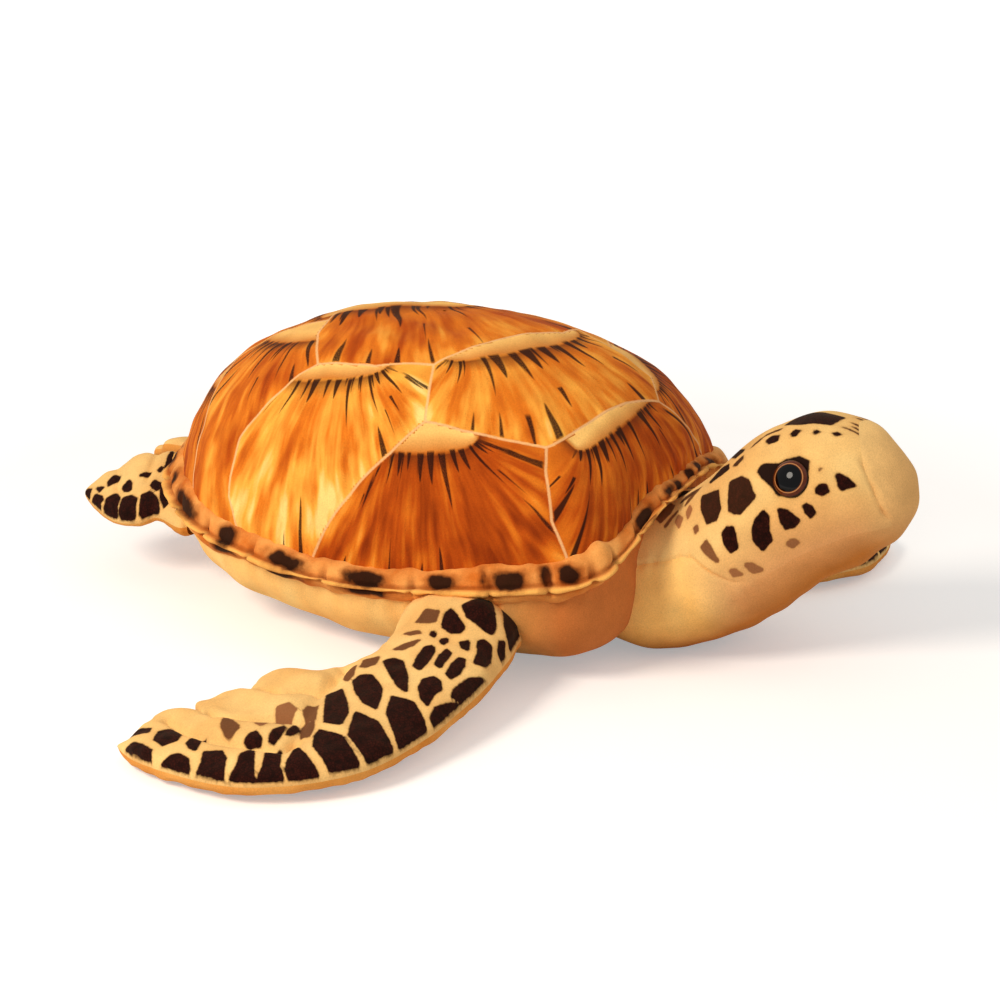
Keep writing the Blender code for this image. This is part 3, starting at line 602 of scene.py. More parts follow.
# rows of dashes along the rays: how many to a half turn, their seed, share kept, half width in millimetres,
# the least and the extra length, the least and the extra distance of their start, and where they are blunt
for spacing, seed, share_kept, half_width, least, extra, first_start, later_start, from_foot in (
    (FRINGE_DASHES, 1.7, 0.93, 1.9, 9.0, 18.0, -1.8, 1.2, False),
    (FRINGE_DASHES * 1.45, 5.3, 0.50, 1.2, 5.0, 10.0, -1.6, 1.4, False),
    (MIDDLE_DASHES, 3.1, 0.24, 1.3, 8.0, 10.0, 16.0, 16.0, False),
    (FOOT_DASHES, 9.1, 0.50, 2.1, 9.0, 12.0, 0.2, 0.8, True),
):
    cell = add("Math", wobbled, spacing / math.pi, operation="MULTIPLY")
    number = add("Math", cell, operation="FLOOR")
    dice = add("TexWhiteNoise", add("CombineXYZ", number, scute_at, seed), out="Color")
    first, second, third = (add("SeparateColor", dice, out=channel) for channel in range(3))
    middle = add("Math", third, 0.36, 0.32, operation="MULTIPLY_ADD")
    from_middle = add("Math", add("Math", cell, operation="FRACT"), middle, operation="SUBTRACT")
    lane_mm = add("Math", across_mm, math.pi / spacing, operation="MULTIPLY")
    lateral = add("Math", add("Math", from_middle, operation="ABSOLUTE"), lane_mm, operation="MULTIPLY")
    travelled = foot_at if from_foot else reach_at
    start = add("Math", second, later_start, first_start, operation="MULTIPLY_ADD")
    length = add("Math", first, extra / share_kept, least, operation="MULTIPLY_ADD")
    run = add("Math", add("Math", travelled, start, operation="SUBTRACT"), length, operation="DIVIDE")
    left = add("Math", 1.0, run, operation="SUBTRACT", use_clamp=True)
    taper = add("Math", left, DASH_TAPER, operation="POWER")
    widest_mm = add("Math", third, half_width * 0.6, half_width * 0.6, operation="MULTIPLY_ADD")
    width = add("Math", taper, widest_mm, operation="MULTIPLY")
    soft = 0.35 if from_foot else 0.28
    edge = add("MapRange", add("Math", width, lateral, operation="SUBTRACT"), 0.1, 0.1 + 2 * soft, 0.0, 1.0)
    started = add("MapRange", run, -0.03, 0.06, 0.0, 1.0)
    kept = add("Math", first, share_kept, operation="LESS_THAN")
    dash = add("Math", add("Math", edge, started, operation="MULTIPLY"), kept, operation="MULTIPLY")
    if first_start < 0:
        clear = add("Math", ahead_at, add("MapRange", foot_at, 0.8, 2.0, 0.0, 1.0), operation="MULTIPLY")
    else:
        clear = add("MapRange", reach_at, 12.0, 18.0, 0.0, 1.0)
    dash = add("Math", dash, clear, operation="MULTIPLY")
    darkness = dash if darkness is None else add("Math", darkness, dash, operation="MAXIMUM")
# airbrushed gold and rust along the rays, broad and blurred, with more gold towards the scute's edge
streaks = []
for across_rays, along_rays, by_scute, detail in ((7.5, 0.030, 3.7, 1.5), (20.0, 0.07, 1.9, 1.0)):
    streak_at = add(
        "CombineXYZ",
        add("Math", wobbled, across_rays, operation="MULTIPLY"),
        add("Math", reach_at, along_rays, operation="MULTIPLY"),
        add("Math", scute_at, by_scute, operation="MULTIPLY"),
    )
    streaks.append(add("TexNoise", streak_at, Scale=1.0, Detail=detail, Roughness=0.5))
streak, fine = streaks
blotch = add("TexNoise", place_at, Scale=38.0, Detail=2.0, Roughness=0.5)
outward = add("MapRange", reach_at, 2.0, 40.0, 0.35, 1.35)
lively, finer, clouded = (
    add("Math", add("Math", noise, -0.5), strength, operation="MULTIPLY")
    for noise, strength in ((streak, 0.95), (fine, 0.34), (blotch, 0.55))
)
lively = add("Math", lively, outward, operation="MULTIPLY")
finer = add("Math", finer, outward, operation="MULTIPLY")
near_border = add("MapRange", foot_at, 0.0, 16.0, 0.08, -0.07)
golden = add("Math", add("Math", tone_at, near_border), add("Math", add("Math", lively, finer), clouded))
ramp = tree.nodes.new("ShaderNodeValToRGB")
tree.links.new(golden, ramp.inputs[0])
stops = ((0.0, RUST_SHADE), (0.25, RUST), (0.52, ORANGE), (0.80, GOLD), (1.0, PALE_GOLD))
for place, (position, colour) in enumerate(stops):
    stop = ramp.color_ramp.elements[place] if place < 2 else ramp.color_ramp.elements.new(position)
    stop.position = position
    stop.color = linear(colour)
smear = add(
    "Math",
    add("MapRange", reach_at, 0.0, 8.0, 0.80, 0.0),
    add("MapRange", reach_at, -1.4, 0.6, 0.0, 1.0),
    operation="MULTIPLY",
)
blotched_reach = add("Math", reach_at, add("Math", blotch, 5.0, operation="MULTIPLY"))
almond_shade = add("MapRange", blotched_reach, -8.0, 2.5, 0.0, 1.0)
almond = add("Mix", almond_shade, data_type="RGBA", i6=ALMOND_GOLD, i7=ALMOND_SHADE, out=2)
uneven_reach = add("Math", reach_at, add("Math", fine, 1.4, operation="MULTIPLY"))
in_almond = add("MapRange", uneven_reach, -1.1, 1.2, 1.0, 0.0)
lines = [
    add("Math", add("Attribute", attribute_name=f"line_{bit}", out="Fac"), operation="ABSOLUTE")
    for bit in range(3)
]
line = add("Math", add("Math", lines[0], lines[1], operation="MINIMUM"), lines[2], operation="MINIMUM")
paint = ramp.outputs[0]
for share, colour in (
    (smear, SMEARED_BROWN),
    (in_almond, almond),
    (add("Math", darkness, 0.95, operation="MULTIPLY"), DASH_BROWN),
    (add("MapRange", line, 0.30, 0.95, 0.80, 0.0), BORDER_CREAM),
):
    paint = add("Mix", share, data_type="RGBA", i6=paint, i7=colour, out=2)
finish_plush(paint, *grain_of(place_at))

shell = add_piece("shell_cloth", dome_skin, grid_faces(DOME_RINGS, BODY_COLUMNS), printed_shell)
for name, values in (
    ("ray", ray),
    ("reach", reach),
    ("foot", np.minimum(border_distance, rim_distance)),
    ("tone", tone),
    ("ahead", ahead),
    ("scute", scute_of),
    *((f"line_{bit}", signed[min(bit, len(signed) - 1)]) for bit in range(3)),
):
    give(shell, name, values)
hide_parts("shell_cover", "body_filling")
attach(shell, "body")


# ---------------------------------------------------------------- Shell rim band
# A strip of the printed plush folded over a thin pad and sewn into the seam round the body. Its fold stands
# out as a ridge, cross pleats gather it at the bends, and its free end is folded into a knob at the corner.
# the band's section from its top edge over the fold to its lower edge: out and up from the rim's line
RIM_SECTION_MM = (
    (-1.8, 11.5), (1.4, 10.4), (4.0, 7.4), (5.9, 3.6), (7.9, 0.4), (5.6, -3.4), (3.2, -6.2), (0.4, -8.0),
    (-2.2, -8.6),
)
RIM_RINGS = 45
# how high the band stands over its fold, in millimetres at millimetres from the nose
RIM_TOP_MM = (
    (0, 4.5), (40, 5.5), (80, 7.5), (92, 11.5), (105, 12.5), (150, 12), (175, 9), (250, 7.5), (290, 11),
    (340, 12.5), (434, 12.5),
)
RIM_PLEATS_MM = (31, 60, 84, 99, 121, 150, 191, 240, 285, 322, 352, 385, 418)
KNOB_ARC_MM = 92
# the ridge along the fold, the grooves on both sides of it, and the pleats across
CORD_LIFT_MM = 1.7
GROOVE_DEPTH_MM = 1.5
GROOVE_FROM_FOLD_MM = 2.5
GROOVE_WIDTH_MM = 1.1
PLEAT_DEPTH_MM = 1.7
PLEAT_WIDTH_MM = 1.6
# how uneven the stuffing is, how far a pleat pulls it in and how full the knob is, all as shares, and how far
# the whole band waves up and down
RIM_UNEVEN = 0.10
PLEAT_PULL = 0.20
KNOB_SWELL = 0.45
KNOB_RISE = 0.10
KNOB_WIDTH_MM = 7.0
RIM_WAVE = 0.0012
# dark patches of the print: from and to along the rim, and whether above the fold (1) or below it (-1)
RIM_PATCHES_MM = (
    (5, 13, 1), (15, 27, 1), (40, 60, 1), (105, 116, 1), (119, 125, 1), (131, 149, 1), (151, 155, 1),
    (167, 183, 1), (205, 228, 1), (205, 229, -1), (252, 276, 1), (254, 277, -1), (297, 312, 1), (334, 359, 1),
    (300, 318, -1), (371, 379, 1), (391, 409, 1), (345, 362, -1), (398, 412, -1), (424, 432, 1),
)
# the patches' middle and half height on each side of the fold, and how square they are
PATCH_BAND_MM = {1: (6.0, 4.8), -1: (-4.8, 3.6)}
PATCH_SQUARENESS = 2.6
NO_PRINT_MM = -9.0

section = np.array(RIM_SECTION_MM) * MM
section = curve(section, RIM_RINGS, section[0] * 2 - section[1], section[-1] * 2 - section[-2], (1, 1))
fold = int(np.argmax(section[:, 0]))
over_fold = np.concatenate([[0], np.cumsum(np.linalg.norm(np.diff(section, axis=0), axis=1))])
over_fold = (over_fold[fold] - over_fold) / MM
half_arc = np.minimum(rim_arc, RIM_LENGTH - rim_arc) / MM
left_side = rim_arc > RIM_LENGTH / 2
plump = 1 + RIM_UNEVEN * lumps(rim_edge, 0.045, 11)
squeeze = np.zeros(BODY_COLUMNS)
for pleat in RIM_PLEATS_MM:
    squeeze += np.exp(-(((half_arc - pleat) / PLEAT_WIDTH_MM) ** 2))
knob = np.exp(-(((half_arc - KNOB_ARC_MM) / KNOB_WIDTH_MM) ** 2))
fullness = plump[None] - PLEAT_PULL * squeeze[None] + KNOB_SWELL * knob[None]
out_by = section[:, :1] * np.where(section[:, :1] > 0, fullness, 1.0)
top_share = np.interp(half_arc, *np.array(RIM_TOP_MM, float).T) / RIM_SECTION_MM[0][1]
below_share = 0.6 + 0.4 * np.clip(top_share, 0, 1)
up_by = section[:, 1:] * np.where(section[:, 1:] > 0, top_share[None] + KNOB_RISE * knob[None], below_share)
twist = RIM_WAVE * lumps(rim_edge, 0.05, 12)
rim_points = np.concatenate(
    [
        (CROWN + widest)[None] + rim_out[None] * out_by[..., None],
        (rim_edge[:, 2] + twist)[None, :, None] + up_by[..., None],
    ],
    -1,
)
rim_flat = rim_points.reshape(-1, 3)
rim_normals = grid_normals(rim_points).reshape(-1, 3)
over = np.repeat(over_fold, BODY_COLUMNS)
along = np.tile(half_arc, RIM_RINGS)
cord = CORD_LIFT_MM * np.exp(-(over**2))
cord -= GROOVE_DEPTH_MM * np.exp(-(((np.abs(over) - GROOVE_FROM_FOLD_MM) / GROOVE_WIDTH_MM) ** 2))
creased = np.tile(squeeze, RIM_RINGS) * np.exp(-(((over - 3) / 5) ** 2))
rim_raise = 0.4 * lumps(rim_flat, 0.011, 13) + 0.6 * lumps(rim_flat, 0.022, 14) + cord
rim_raise -= PLEAT_DEPTH_MM * creased
rim_flat = rim_flat + rim_normals * (rim_raise * MM)[:, None]
patch = np.full(len(along), NO_PRINT_MM)
for start, stop, side in RIM_PATCHES_MM:
    length = (stop - start) / 2
    middle, height = PATCH_BAND_MM[side]
    off = np.abs((along - (start + stop) / 2) / length) ** PATCH_SQUARENESS
    far = (off + np.abs((over - middle) / height) ** PATCH_SQUARENESS) ** (1 / PATCH_SQUARENESS)
    patch = np.maximum(patch, (1 - far) * min(length, height))

printed_rim, tree = new_material("printed_short_pile_plush_rim")
place_at = add("TexCoord", out="Object")
patch_at, over_at, knob_at, pleat_shade_at = (
    add("Attribute", attribute_name=name, out="Fac") for name in ("patch", "over", "knob", "pleat")
)
blotched = add("MapRange", add("TexNoise", place_at, Scale=55.0, Detail=3.0), 0.3, 0.7, 0.0, 1.0)
from_fold = add("Math", over_at, operation="ABSOLUTE")
from_shaded_groove = add("Math", add("Math", from_fold, -2.7), operation="ABSOLUTE")
patched = patch_at
for scale, detail, fray_mm in ((170.0, 3.0, 4.2), (75.0, 1.0, 5.0)):
    fray = add("Math", add("TexNoise", place_at, Scale=scale, Detail=detail), -0.5)
    patched = add("Math", patched, add("Math", fray, fray_mm, operation="MULTIPLY"))
spot_core = add("TexNoise", place_at, Scale=180.0, Detail=2.0)
spot_colour = add("Mix", spot_core, data_type="RGBA", i6="#100502", i7="#2A110A", out=2)
paint = add("Mix", blotched, data_type="RGBA", i6="#CF6E26", i7="#F5AC5C", out=2)
for share, colour in (
    # painted shade: darker in the grooves on both sides of the fold
    (add("MapRange", from_shaded_groove, 0.2, 1.5, 0.55, 0.0), "#8E4614"),
    (add("MapRange", from_fold, 0.6, 1.8, 0.9, 0.0), "#F8B65C"),
    (add("MapRange", patched, -2.2, 0.4, 0.0, 0.7), "#8A3D10"),
    (add("MapRange", patched, -0.2, 1.5, 0.0, 0.96), spot_colour),
    # painted shade: darker in the creases of the pleats
    (add("Math", pleat_shade_at, 0.55, operation="MULTIPLY"), "#7A3510"),
    (add("Math", knob_at, 0.6, operation="MULTIPLY"), "#F0C484"),
):
    paint = add("Mix", share, data_type="RGBA", i6=paint, i7=colour, out=2)
finish_plush(paint, *grain_of(place_at))

rim = add_piece("rim_cloth", rim_flat, grid_faces(RIM_RINGS, BODY_COLUMNS), printed_rim)
for name, values in (
    ("patch", patch),
    ("over", over),
    # the pleats' creases, which the material paints darker as shade
    ("pleat", np.clip(creased, 0, 1)),
    ("knob", np.tile(knob * ~left_side, RIM_RINGS)),
):
    give(rim, name, values)
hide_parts("shell_rim_band")
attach(rim, "body")


# ---------------------------------------------------------------- Belly cover
# One plain peach-tan plush panel from under the rim, down the sides and across the flat belly. It is boxy at
# the neck and slack at the tail, and flat only where the stuffed body rests on its own weight.
BELLY_FLAT_DEPTH = 0.0005
BELLY_NOSE_SQUARENESS = 4.0
BELLY_TAIL_SQUARENESS = 2.1
BELLY_RINGS = 72
# the gathers are deepest this far under the rim
BELLY_PUCKER_DEPTH_MM = 8
BELLY_PUCKER_PITCH = 0.011
BELLY_LUMP = 0.0008
BELLY_SMALL_LUMP = 0.0003
BELLY_PUCKER = 0.0004
# below this height the lumps fade out towards the floor
BELLY_STILL_HEIGHT = 0.012
# darker tan from here to the neck, and over the lowest part: partly a warmer tint of the cloth, partly
# painted shade of the body's front under the neck and of the underside near the floor
SHADED_TAN_FROM = -0.055
SHADED_TAN_RUN = 0.05
SHADED_TAN_HEIGHT = 0.016
LOW_SHADED_TAN = 0.6
# soft bulges of the stuffing, on both sides: a place, a size and a lift in millimetres
BELLY_BULGES = (((0.056, -0.118, 0.018), 0.025, 5.5), ((0.075, -0.075, 0.010), 0.025, -4.0))


def swell(points, bulges):
    """How far soft bulges lift points, in millimetres."""
    total = np.zeros(len(points))
    for place, size, lift in bulges:
        for side in (-1, 1):
            far = np.linalg.norm(points - np.array(place) * (side, 1, 1), axis=1)
            total += lift * np.exp(-((far / size) ** 2))
    return total


squareness = BELLY_NOSE_SQUARENESS + (BELLY_TAIL_SQUARENESS - BELLY_NOSE_SQUARENESS) * (
    (widest[:, 1] + CROWN[1] + SHELL_NOSE) / SHELL_LENGTH
)
lean = np.linspace(0.0, 0.99, BELLY_RINGS)[:, None] * math.pi / 2
drop, stay = squared_quarter(lean, squareness)
belly = np.concatenate(
    [
        CROWN + widest[None] * stay[..., None],
        (rim_edge[:, 2] - (rim_edge[:, 2] + BELLY_FLAT_DEPTH) * drop)[..., None],
    ],
    -1,
)
belly_normals = grid_normals(belly).reshape(-1, 3)
belly_flat = belly.reshape(-1, 3)
lifted = np.clip(belly_flat[:, 2] / BELLY_STILL_HEIGHT, 0, 1)
belly_depth = (np.repeat(rim_edge[None, :, 2], BELLY_RINGS, 0).reshape(-1) - belly_flat[:, 2]) / MM
pucker = np.exp(-((belly_depth - BELLY_PUCKER_DEPTH_MM) ** 2) / 60)
pucker *= np.sin(np.tile(rim_arc, BELLY_RINGS) / BELLY_PUCKER_PITCH * math.tau)
belly_raise = BELLY_LUMP * lumps(belly_flat, 0.06, 21) + BELLY_SMALL_LUMP * lumps(belly_flat, 0.02, 22)
belly_raise += BELLY_PUCKER * pucker
belly_raise += swell(belly_flat, BELLY_BULGES) * MM
belly_skin = belly_flat + belly_normals * (belly_raise * lifted)[:, None]
belly_skin[:, 2] = np.maximum(belly_skin[:, 2], 0.0)

plain_belly, tree = new_material("plain_short_pile_plush_belly")
place_at = add("TexCoord", out="Object")
stretched = add("Mapping", place_at, Scale=(34.0, 34.0, 7.0))
streaky = add("TexNoise", stretched, Scale=1.0, Detail=2.0)
streaked = add("MapRange", streaky, 0.35, 0.7, 0.0, 1.0)
peach = add("Mix", streaked, data_type="RGBA", i6="#FFBC66", i7="#FFD88A", out=2)
tan_and_shade_at = add("Attribute", attribute_name="tan", out="Fac")
# partly the cloth's warmer tint, partly painted shade towards the neck and near the floor
tanned_and_shaded = add("Mix", tan_and_shade_at, data_type="RGBA", i6=peach, i7="#C87438", out=2)
finish_plush(tanned_and_shaded, *grain_of(place_at))

belly_piece = add_piece("belly_cloth", belly_skin, grid_faces(BELLY_RINGS, BODY_COLUMNS), plain_belly)
# darker tan towards the neck and near the floor: partly the cloth's tint, partly painted shade
neck_tan_and_shade = np.clip((SHADED_TAN_FROM - belly_flat[:, 1]) / SHADED_TAN_RUN, 0, 1)
low_tan_and_shade = np.clip((SHADED_TAN_HEIGHT - belly_flat[:, 2]) / SHADED_TAN_HEIGHT, 0, 1)
give(belly_piece, "tan", np.maximum(neck_tan_and_shade, low_tan_and_shade * LOW_SHADED_TAN))
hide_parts("belly_cover")
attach(belly_piece, "body")


# ---------------------------------------------------------------- Neck and head
# One stuffed bag from a printed upper panel, a plain throat panel and a plain beak panel. The print is dark
# brown leathery spots on cream; the seams sink in, and the cloth dimples where the eye is pulled tight.
NECK_HINGE = np.array([0, -0.108, 0.037])
NECK_HALF_WIDTH = 0.051
NECK_HALF_HEIGHT = 0.0365
HEAD_REACH = 0.141
HEAD_RISE = 0.055
HEAD_RINGS = 122
BEAK_RINGS = 26
TOP_COLUMNS = 72
THROAT_COLUMNS = 46
# forward and up as shares of the reach and rise, half width and half height as shares of the neck's, and
# the tilt back in degrees
HEAD_STATIONS = (
    (0.000, 0.000, 1.00, 1.00, 0),
    (0.135, 0.020, 1.01, 1.01, 10),
    (0.280, 0.095, 0.98, 1.02, 22),
    (0.400, 0.290, 0.90, 1.04, 30),
    (0.500, 0.545, 0.83, 1.04, 33),
    (0.575, 0.725, 0.78, 1.06, 31),
    (0.650, 0.850, 0.74, 1.07, 26),
    (0.740, 0.945, 0.71, 1.04, 20),
    (0.840, 0.990, 0.62, 0.86, 11),
    (0.925, 0.960, 0.45, 0.60, 6),
    (0.975, 0.940, 0.25, 0.34, 3),
    (1.000, 0.940, 0.00, 0.00, 3),
)
# where the seams run: the throat's, as degrees from the top at millimetres along the neck, and the beak's,
# as millimetres along at degrees from the top
THROAT_SEAM = (
    (0, 70), (16, 68), (32, 64), (45, 64.5), (52, 70), (58, 86), (66, 104), (76, 114), (90, 118), (154, 118),
)
BEAK_SEAM = ((0, 134), (30, 137), (53, 141), (64, 144), (84, 147), (103, 149.5), (129, 150), (180, 148))
# The printed spots: outlines in millimetres along and degrees from the top, how faded, and whether the left
# side of the head has the same one.
HEAD_SPOTS = (
    ([(108, 11), (112, -9), (121, -10), (130, 0), (127, 18), (116, 19)], 0.0, False),
    ([(101, 21), (103, 19), (108, 23), (107, 29), (103, 29)], 0.0, True),
    ([(112, 26), (114, 22), (117, 25), (115, 31), (113, 30)], 0.0, True),
    ([(121, 30), (122, 25), (124, 27), (122, 32)], 0.0, True),
    ([(127, 28), (129, 25), (131, 27), (129, 31)], 0.0, True),
    ([(129.5, 17), (130.5, 16.2), (137.5, 20), (136.6, 20.8)], 0.2, True),
    ([(131.5, 6), (132.5, 5), (139, 9), (138.2, 10)], 0.2, True),
    ([(133.5, -4), (134.5, -5), (137, -7), (136, -5.5)], 0.2, False),
    ([(132, 12), (133, 11), (138, 14.4), (137.4, 15.4)], 0.2, True),
    ([(99, 15), (100, 13.5), (108.5, 15), (108, 17)], 0.1, True),
    ([(93.5, 20), (94.5, 17.5), (99, 14), (99.5, 16)], 0.1, True),
    ([(79, 6), (84, 4), (90, 15), (90, 18), (86, 20)], 0.0, True),
    ([(84, 26), (91, 24), (91.5, 29), (87, 31)], 0.1, True),
    ([(66, 19), (74, 14), (82, 20), (82.5, 26), (76, 27), (68, 24)], 0.0, True),
    ([(61.5, 39), (62.5, 30), (76, 38), (75.5, 54), (71, 59), (64.5, 56)], 0.05, True),
    ([(78.5, 60), (80, 51), (83, 39), (89.5, 41.5), (93.5, 49), (94.5, 65), (85, 69), (81, 65)], 0.05, True),
    ([(71.5, 68), (75, 66.5), (79.5, 71), (79.5, 77), (76.5, 87), (72, 86), (70, 77)], 0.0, True),
    ([(87, 80), (90, 76.5), (96, 74.5), (97.5, 80), (94.5, 91), (93, 98), (86, 100), (84, 89)], 0.0, True),
    ([(102, 78.5), (106, 81.5), (110.5, 93), (106, 97), (101, 95.5), (100, 89)], 0.0, True),
    ([(113, 82.5), (115, 81.5), (118, 84.5), (118.5, 92), (115, 94.5), (113, 89)], 0.0, True),
    ([(120, 74), (123, 69.5), (126, 71), (126.5, 78), (123, 80.5), (120, 77.5)], 0.0, True),
    ([(129, 64), (130, 61.5), (135, 65.5), (137.5, 72), (131, 77.5), (129.5, 73)], 0.0, True),
    ([(123, 60), (124, 58), (125, 59), (123.4, 62)], 0.2, True),
    ([(58, 66), (62, 64), (64, 70), (64.5, 85), (60, 76)], 0.45, True),
    ([(97, 105), (100, 102), (104, 104), (105, 108), (99, 111)], 0.6, True),
    ([(67, 93), (70, 94.5), (72, 104), (67, 101)], 0.7, True),
    ([(75, 97), (78.5, 100), (81, 112), (75.5, 109)], 0.65, True),
    ([(55, 49), (58.5, 49), (59, 55), (56, 56)], 0.5, True),
    ([(26, 32), (28, 23), (35, 17), (39.5, 20), (38.5, 29), (32, 37)], 0.35, True),
    ([(35, 40), (36, 39), (43.5, 27), (42, 29)], 0.4, True),
    ([(43, 21), (46, 18), (61, 18), (56, 22)], 0.15, True),
    ([(48, 27), (50, 24), (59.5, 20.5), (56, 25)], 0.3, True),
    ([(32, 9), (34, -3), (53, 6), (46, 9), (36, 12)], 0.0, False),
    ([(42, 37), (44, 31), (49, 37), (46, 44)], 0.75, True),
    ([(50, 33), (53, 29), (56, 36), (52, 41)], 0.8, True),
    # the black ring of print round the eye
    ([(97, 46), (99, 43.5), (106, 48), (111, 46.5), (117, 48), (120.5, 53), (118.5, 68), (116, 74)]
     + [(112, 77.5), (104, 72.5), (101, 62), (98, 52)], -1.0, True),
)
# the stuffing's bulge low on both sides of the neck, as on the belly
HEAD_BULGES = (((0.046, -0.126, 0.010), 0.026, 6.0),)
# how round a spot's corners are, and how far along the head from its middle it can reach
SPOT_ROUNDING_MM = 1.2
PRINT_REACH_MM = 24
EYE_ALONG_MM = 111.0
EYE_TURN = 63.0
BROW_ALONG_MM = 110.0
BROW_TURN = 36.0
# how deep the seams, the eye's dimple and the fold over it sink in, and how wide they are
THROAT_SEAM_DEPTH_MM = 1.1
THROAT_SEAM_WIDTH_MM = 1.5
BEAK_SEAM_DEPTH_MM = 1.3
BEAK_SEAM_WIDTH_MM = 1.6
EYE_DIMPLE_MM = 2.2
EYE_DIMPLE_WIDTH_MM = 11.0
BROW_FOLD_MM = 1.4
BROW_FOLD_WIDTH_MM = 3.2
# the gathers along the seams and behind the jaw: how high, and from one to the next
THROAT_PUCKER_MM = 0.35
THROAT_PUCKER_PITCH_MM = 7.5
BEAK_PUCKER_MM = 0.25
BEAK_PUCKER_PITCH_MM = 6.5
JAW_FOLD_MM = 0.5
JAW_FOLD_PITCH_MM = 7
SEAM_PUCKER_REACH_MM = 5
FLOOR_CLEARANCE = 0.0003
HEAD_CURVE_ROWS = 600
EVEN_SEAM_TURN = 110

stations = np.array(HEAD_STATIONS)
stations = stations * (-HEAD_REACH, HEAD_RISE, NECK_HALF_WIDTH, NECK_HALF_HEIGHT, math.pi / 180)
before_neck = stations[0] + (0.02, 0, 0, 0, 0)
head_rows = curve(stations, HEAD_CURVE_ROWS, before_neck, stations[-2] * (1, 1, -1, -1, 1))
head_length = np.concatenate([[0], np.cumsum(np.linalg.norm(np.diff(head_rows[:, :2], axis=0), axis=1))]) / MM
head_steps = np.linspace(0, 1, len(head_rows))
head_end = head_length[-1]


def head_surface(step, turn):
    """Points of the head's bag at a step along it (0 to 1) and a turn from the top (radians, right is +)."""
    y, z, wide, tall, tilt = (np.interp(step, head_steps, column) for column in head_rows.T)
    up = tall * np.cos(turn)
    offset = np.stack([-wide * np.sin(turn), y + up * np.sin(tilt), z + up * np.cos(tilt)], -1)
    return NECK_HINGE + offset


def turn_of(columns, seam):
    """Degrees from the top for columns that count 0 there, 1 at the throat's seam and 2 at the bottom."""
    count = np.abs(columns)
    return np.sign(columns) * np.where(count <= 1, count * seam, seam + (count - 1) * (180 - seam))


top_columns, throat_columns = (np.arange(count) / count for count in (TOP_COLUMNS, THROAT_COLUMNS))
columns = np.concatenate([top_columns, 1 + throat_columns])
columns = np.concatenate([columns, [2.0], -columns[:0:-1]])
HEAD_COLUMNS = len(columns)
nominal = turn_of(columns, EVEN_SEAM_TURN)
beak_at = np.interp(np.interp(np.abs(nominal), *np.array(BEAK_SEAM, float).T), head_length, head_steps)
before_beak = np.linspace(0, 1, HEAD_RINGS)[:, None] * beak_at[None]
after_beak = beak_at[None] + (0.9995 - beak_at[None]) * np.linspace(0, 1, BEAK_RINGS)[1:, None]
head_step = np.vstack([before_beak, after_beak])
head_along = np.interp(head_step, head_steps, head_length)
seam_at = np.interp(head_along, *np.array(THROAT_SEAM, float).T)
head_turn = turn_of(columns[None], seam_at)
head = head_surface(head_step, np.radians(head_turn))
head_normals = -grid_normals(head).reshape(-1, 3)
head_flat = head.reshape(-1, 3)
along = head_along.reshape(-1)
turn = head_turn.reshape(-1)
head_girth = (head_rows[:, 2] + head_rows[:, 3]) / 2
# millimetres round the head to a degree
girth = np.interp(head_step.reshape(-1), head_steps, head_girth) / MM * math.pi / 180
seam_gap = (np.abs(turn) - seam_at.reshape(-1)) * girth
beak_gap = (head_step - beak_at[None]).reshape(-1) * head_end * 1.12
eye_gap = np.hypot(along - EYE_ALONG_MM, (np.abs(turn) - EYE_TURN) * girth)
brow_gap = np.hypot(along - BROW_ALONG_MM, (np.abs(turn) - BROW_TURN) * girth / 1.6)
uneven = 2 * lumps(head_flat, 0.03, 31)
throat_ripple = np.exp(-np.abs(seam_gap) / SEAM_PUCKER_REACH_MM)
throat_ripple *= np.sin(along / THROAT_PUCKER_PITCH_MM * math.tau + uneven)
beak_ripple = np.exp(-np.abs(beak_gap) / SEAM_PUCKER_REACH_MM)
beak_ripple *= np.sin(turn * girth / BEAK_PUCKER_PITCH_MM * math.tau)
on_throat_seam = np.clip((72 - along) / 12, 0, 1)
on_beak_seam = np.clip((np.abs(turn) - 35) / 15, 0, 1) * np.clip((112 - np.abs(turn)) / 15, 0, 1)
at_jaw = np.exp(-(((along - 70) / 10) ** 2) - ((np.abs(turn) - 115) / 14) ** 2)
jaw_folds = at_jaw * np.sin(along / JAW_FOLD_PITCH_MM * math.tau)
head_raise = (
    0.9 * lumps(head_flat, 0.045, 32)
    + 0.3 * lumps(head_flat, 0.016, 33)
    - THROAT_SEAM_DEPTH_MM * np.exp(-((seam_gap / THROAT_SEAM_WIDTH_MM) ** 2)) * on_throat_seam
    - BEAK_SEAM_DEPTH_MM * np.exp(-((beak_gap / BEAK_SEAM_WIDTH_MM) ** 2)) * on_beak_seam
    + THROAT_PUCKER_MM * throat_ripple * on_throat_seam
    + BEAK_PUCKER_MM * beak_ripple * on_beak_seam
    + JAW_FOLD_MM * jaw_folds
    + swell(head_flat, HEAD_BULGES)
    - EYE_DIMPLE_MM * np.exp(-((eye_gap / EYE_DIMPLE_WIDTH_MM) ** 2))
    - BROW_FOLD_MM * np.exp(-((brow_gap / BROW_FOLD_WIDTH_MM) ** 2))
)
head_skin = head_flat + head_normals * (head_raise * MM)[:, None]
head_skin[:, 2] = np.maximum(head_skin[:, 2], FLOOR_CLEARANCE)


def rounded_gap(places, outline, rounding):
    """How deep places of a flat map lie in an outline with rounded corners, in millimetres."""
    corners = np.array(outline, float)
    middle = corners.mean(axis=0)
    inwards = middle - corners
    far = np.linalg.norm(inwards, axis=1, keepdims=True)
    corners = corners + inwards / far * np.minimum(rounding * 1.25, far * 0.45)
    corners = [tuple(corner) for corner in corners.tolist()]
    gap = outline_distance(places, corners)
    return np.where(inside(places, corners), gap, -gap) + rounding


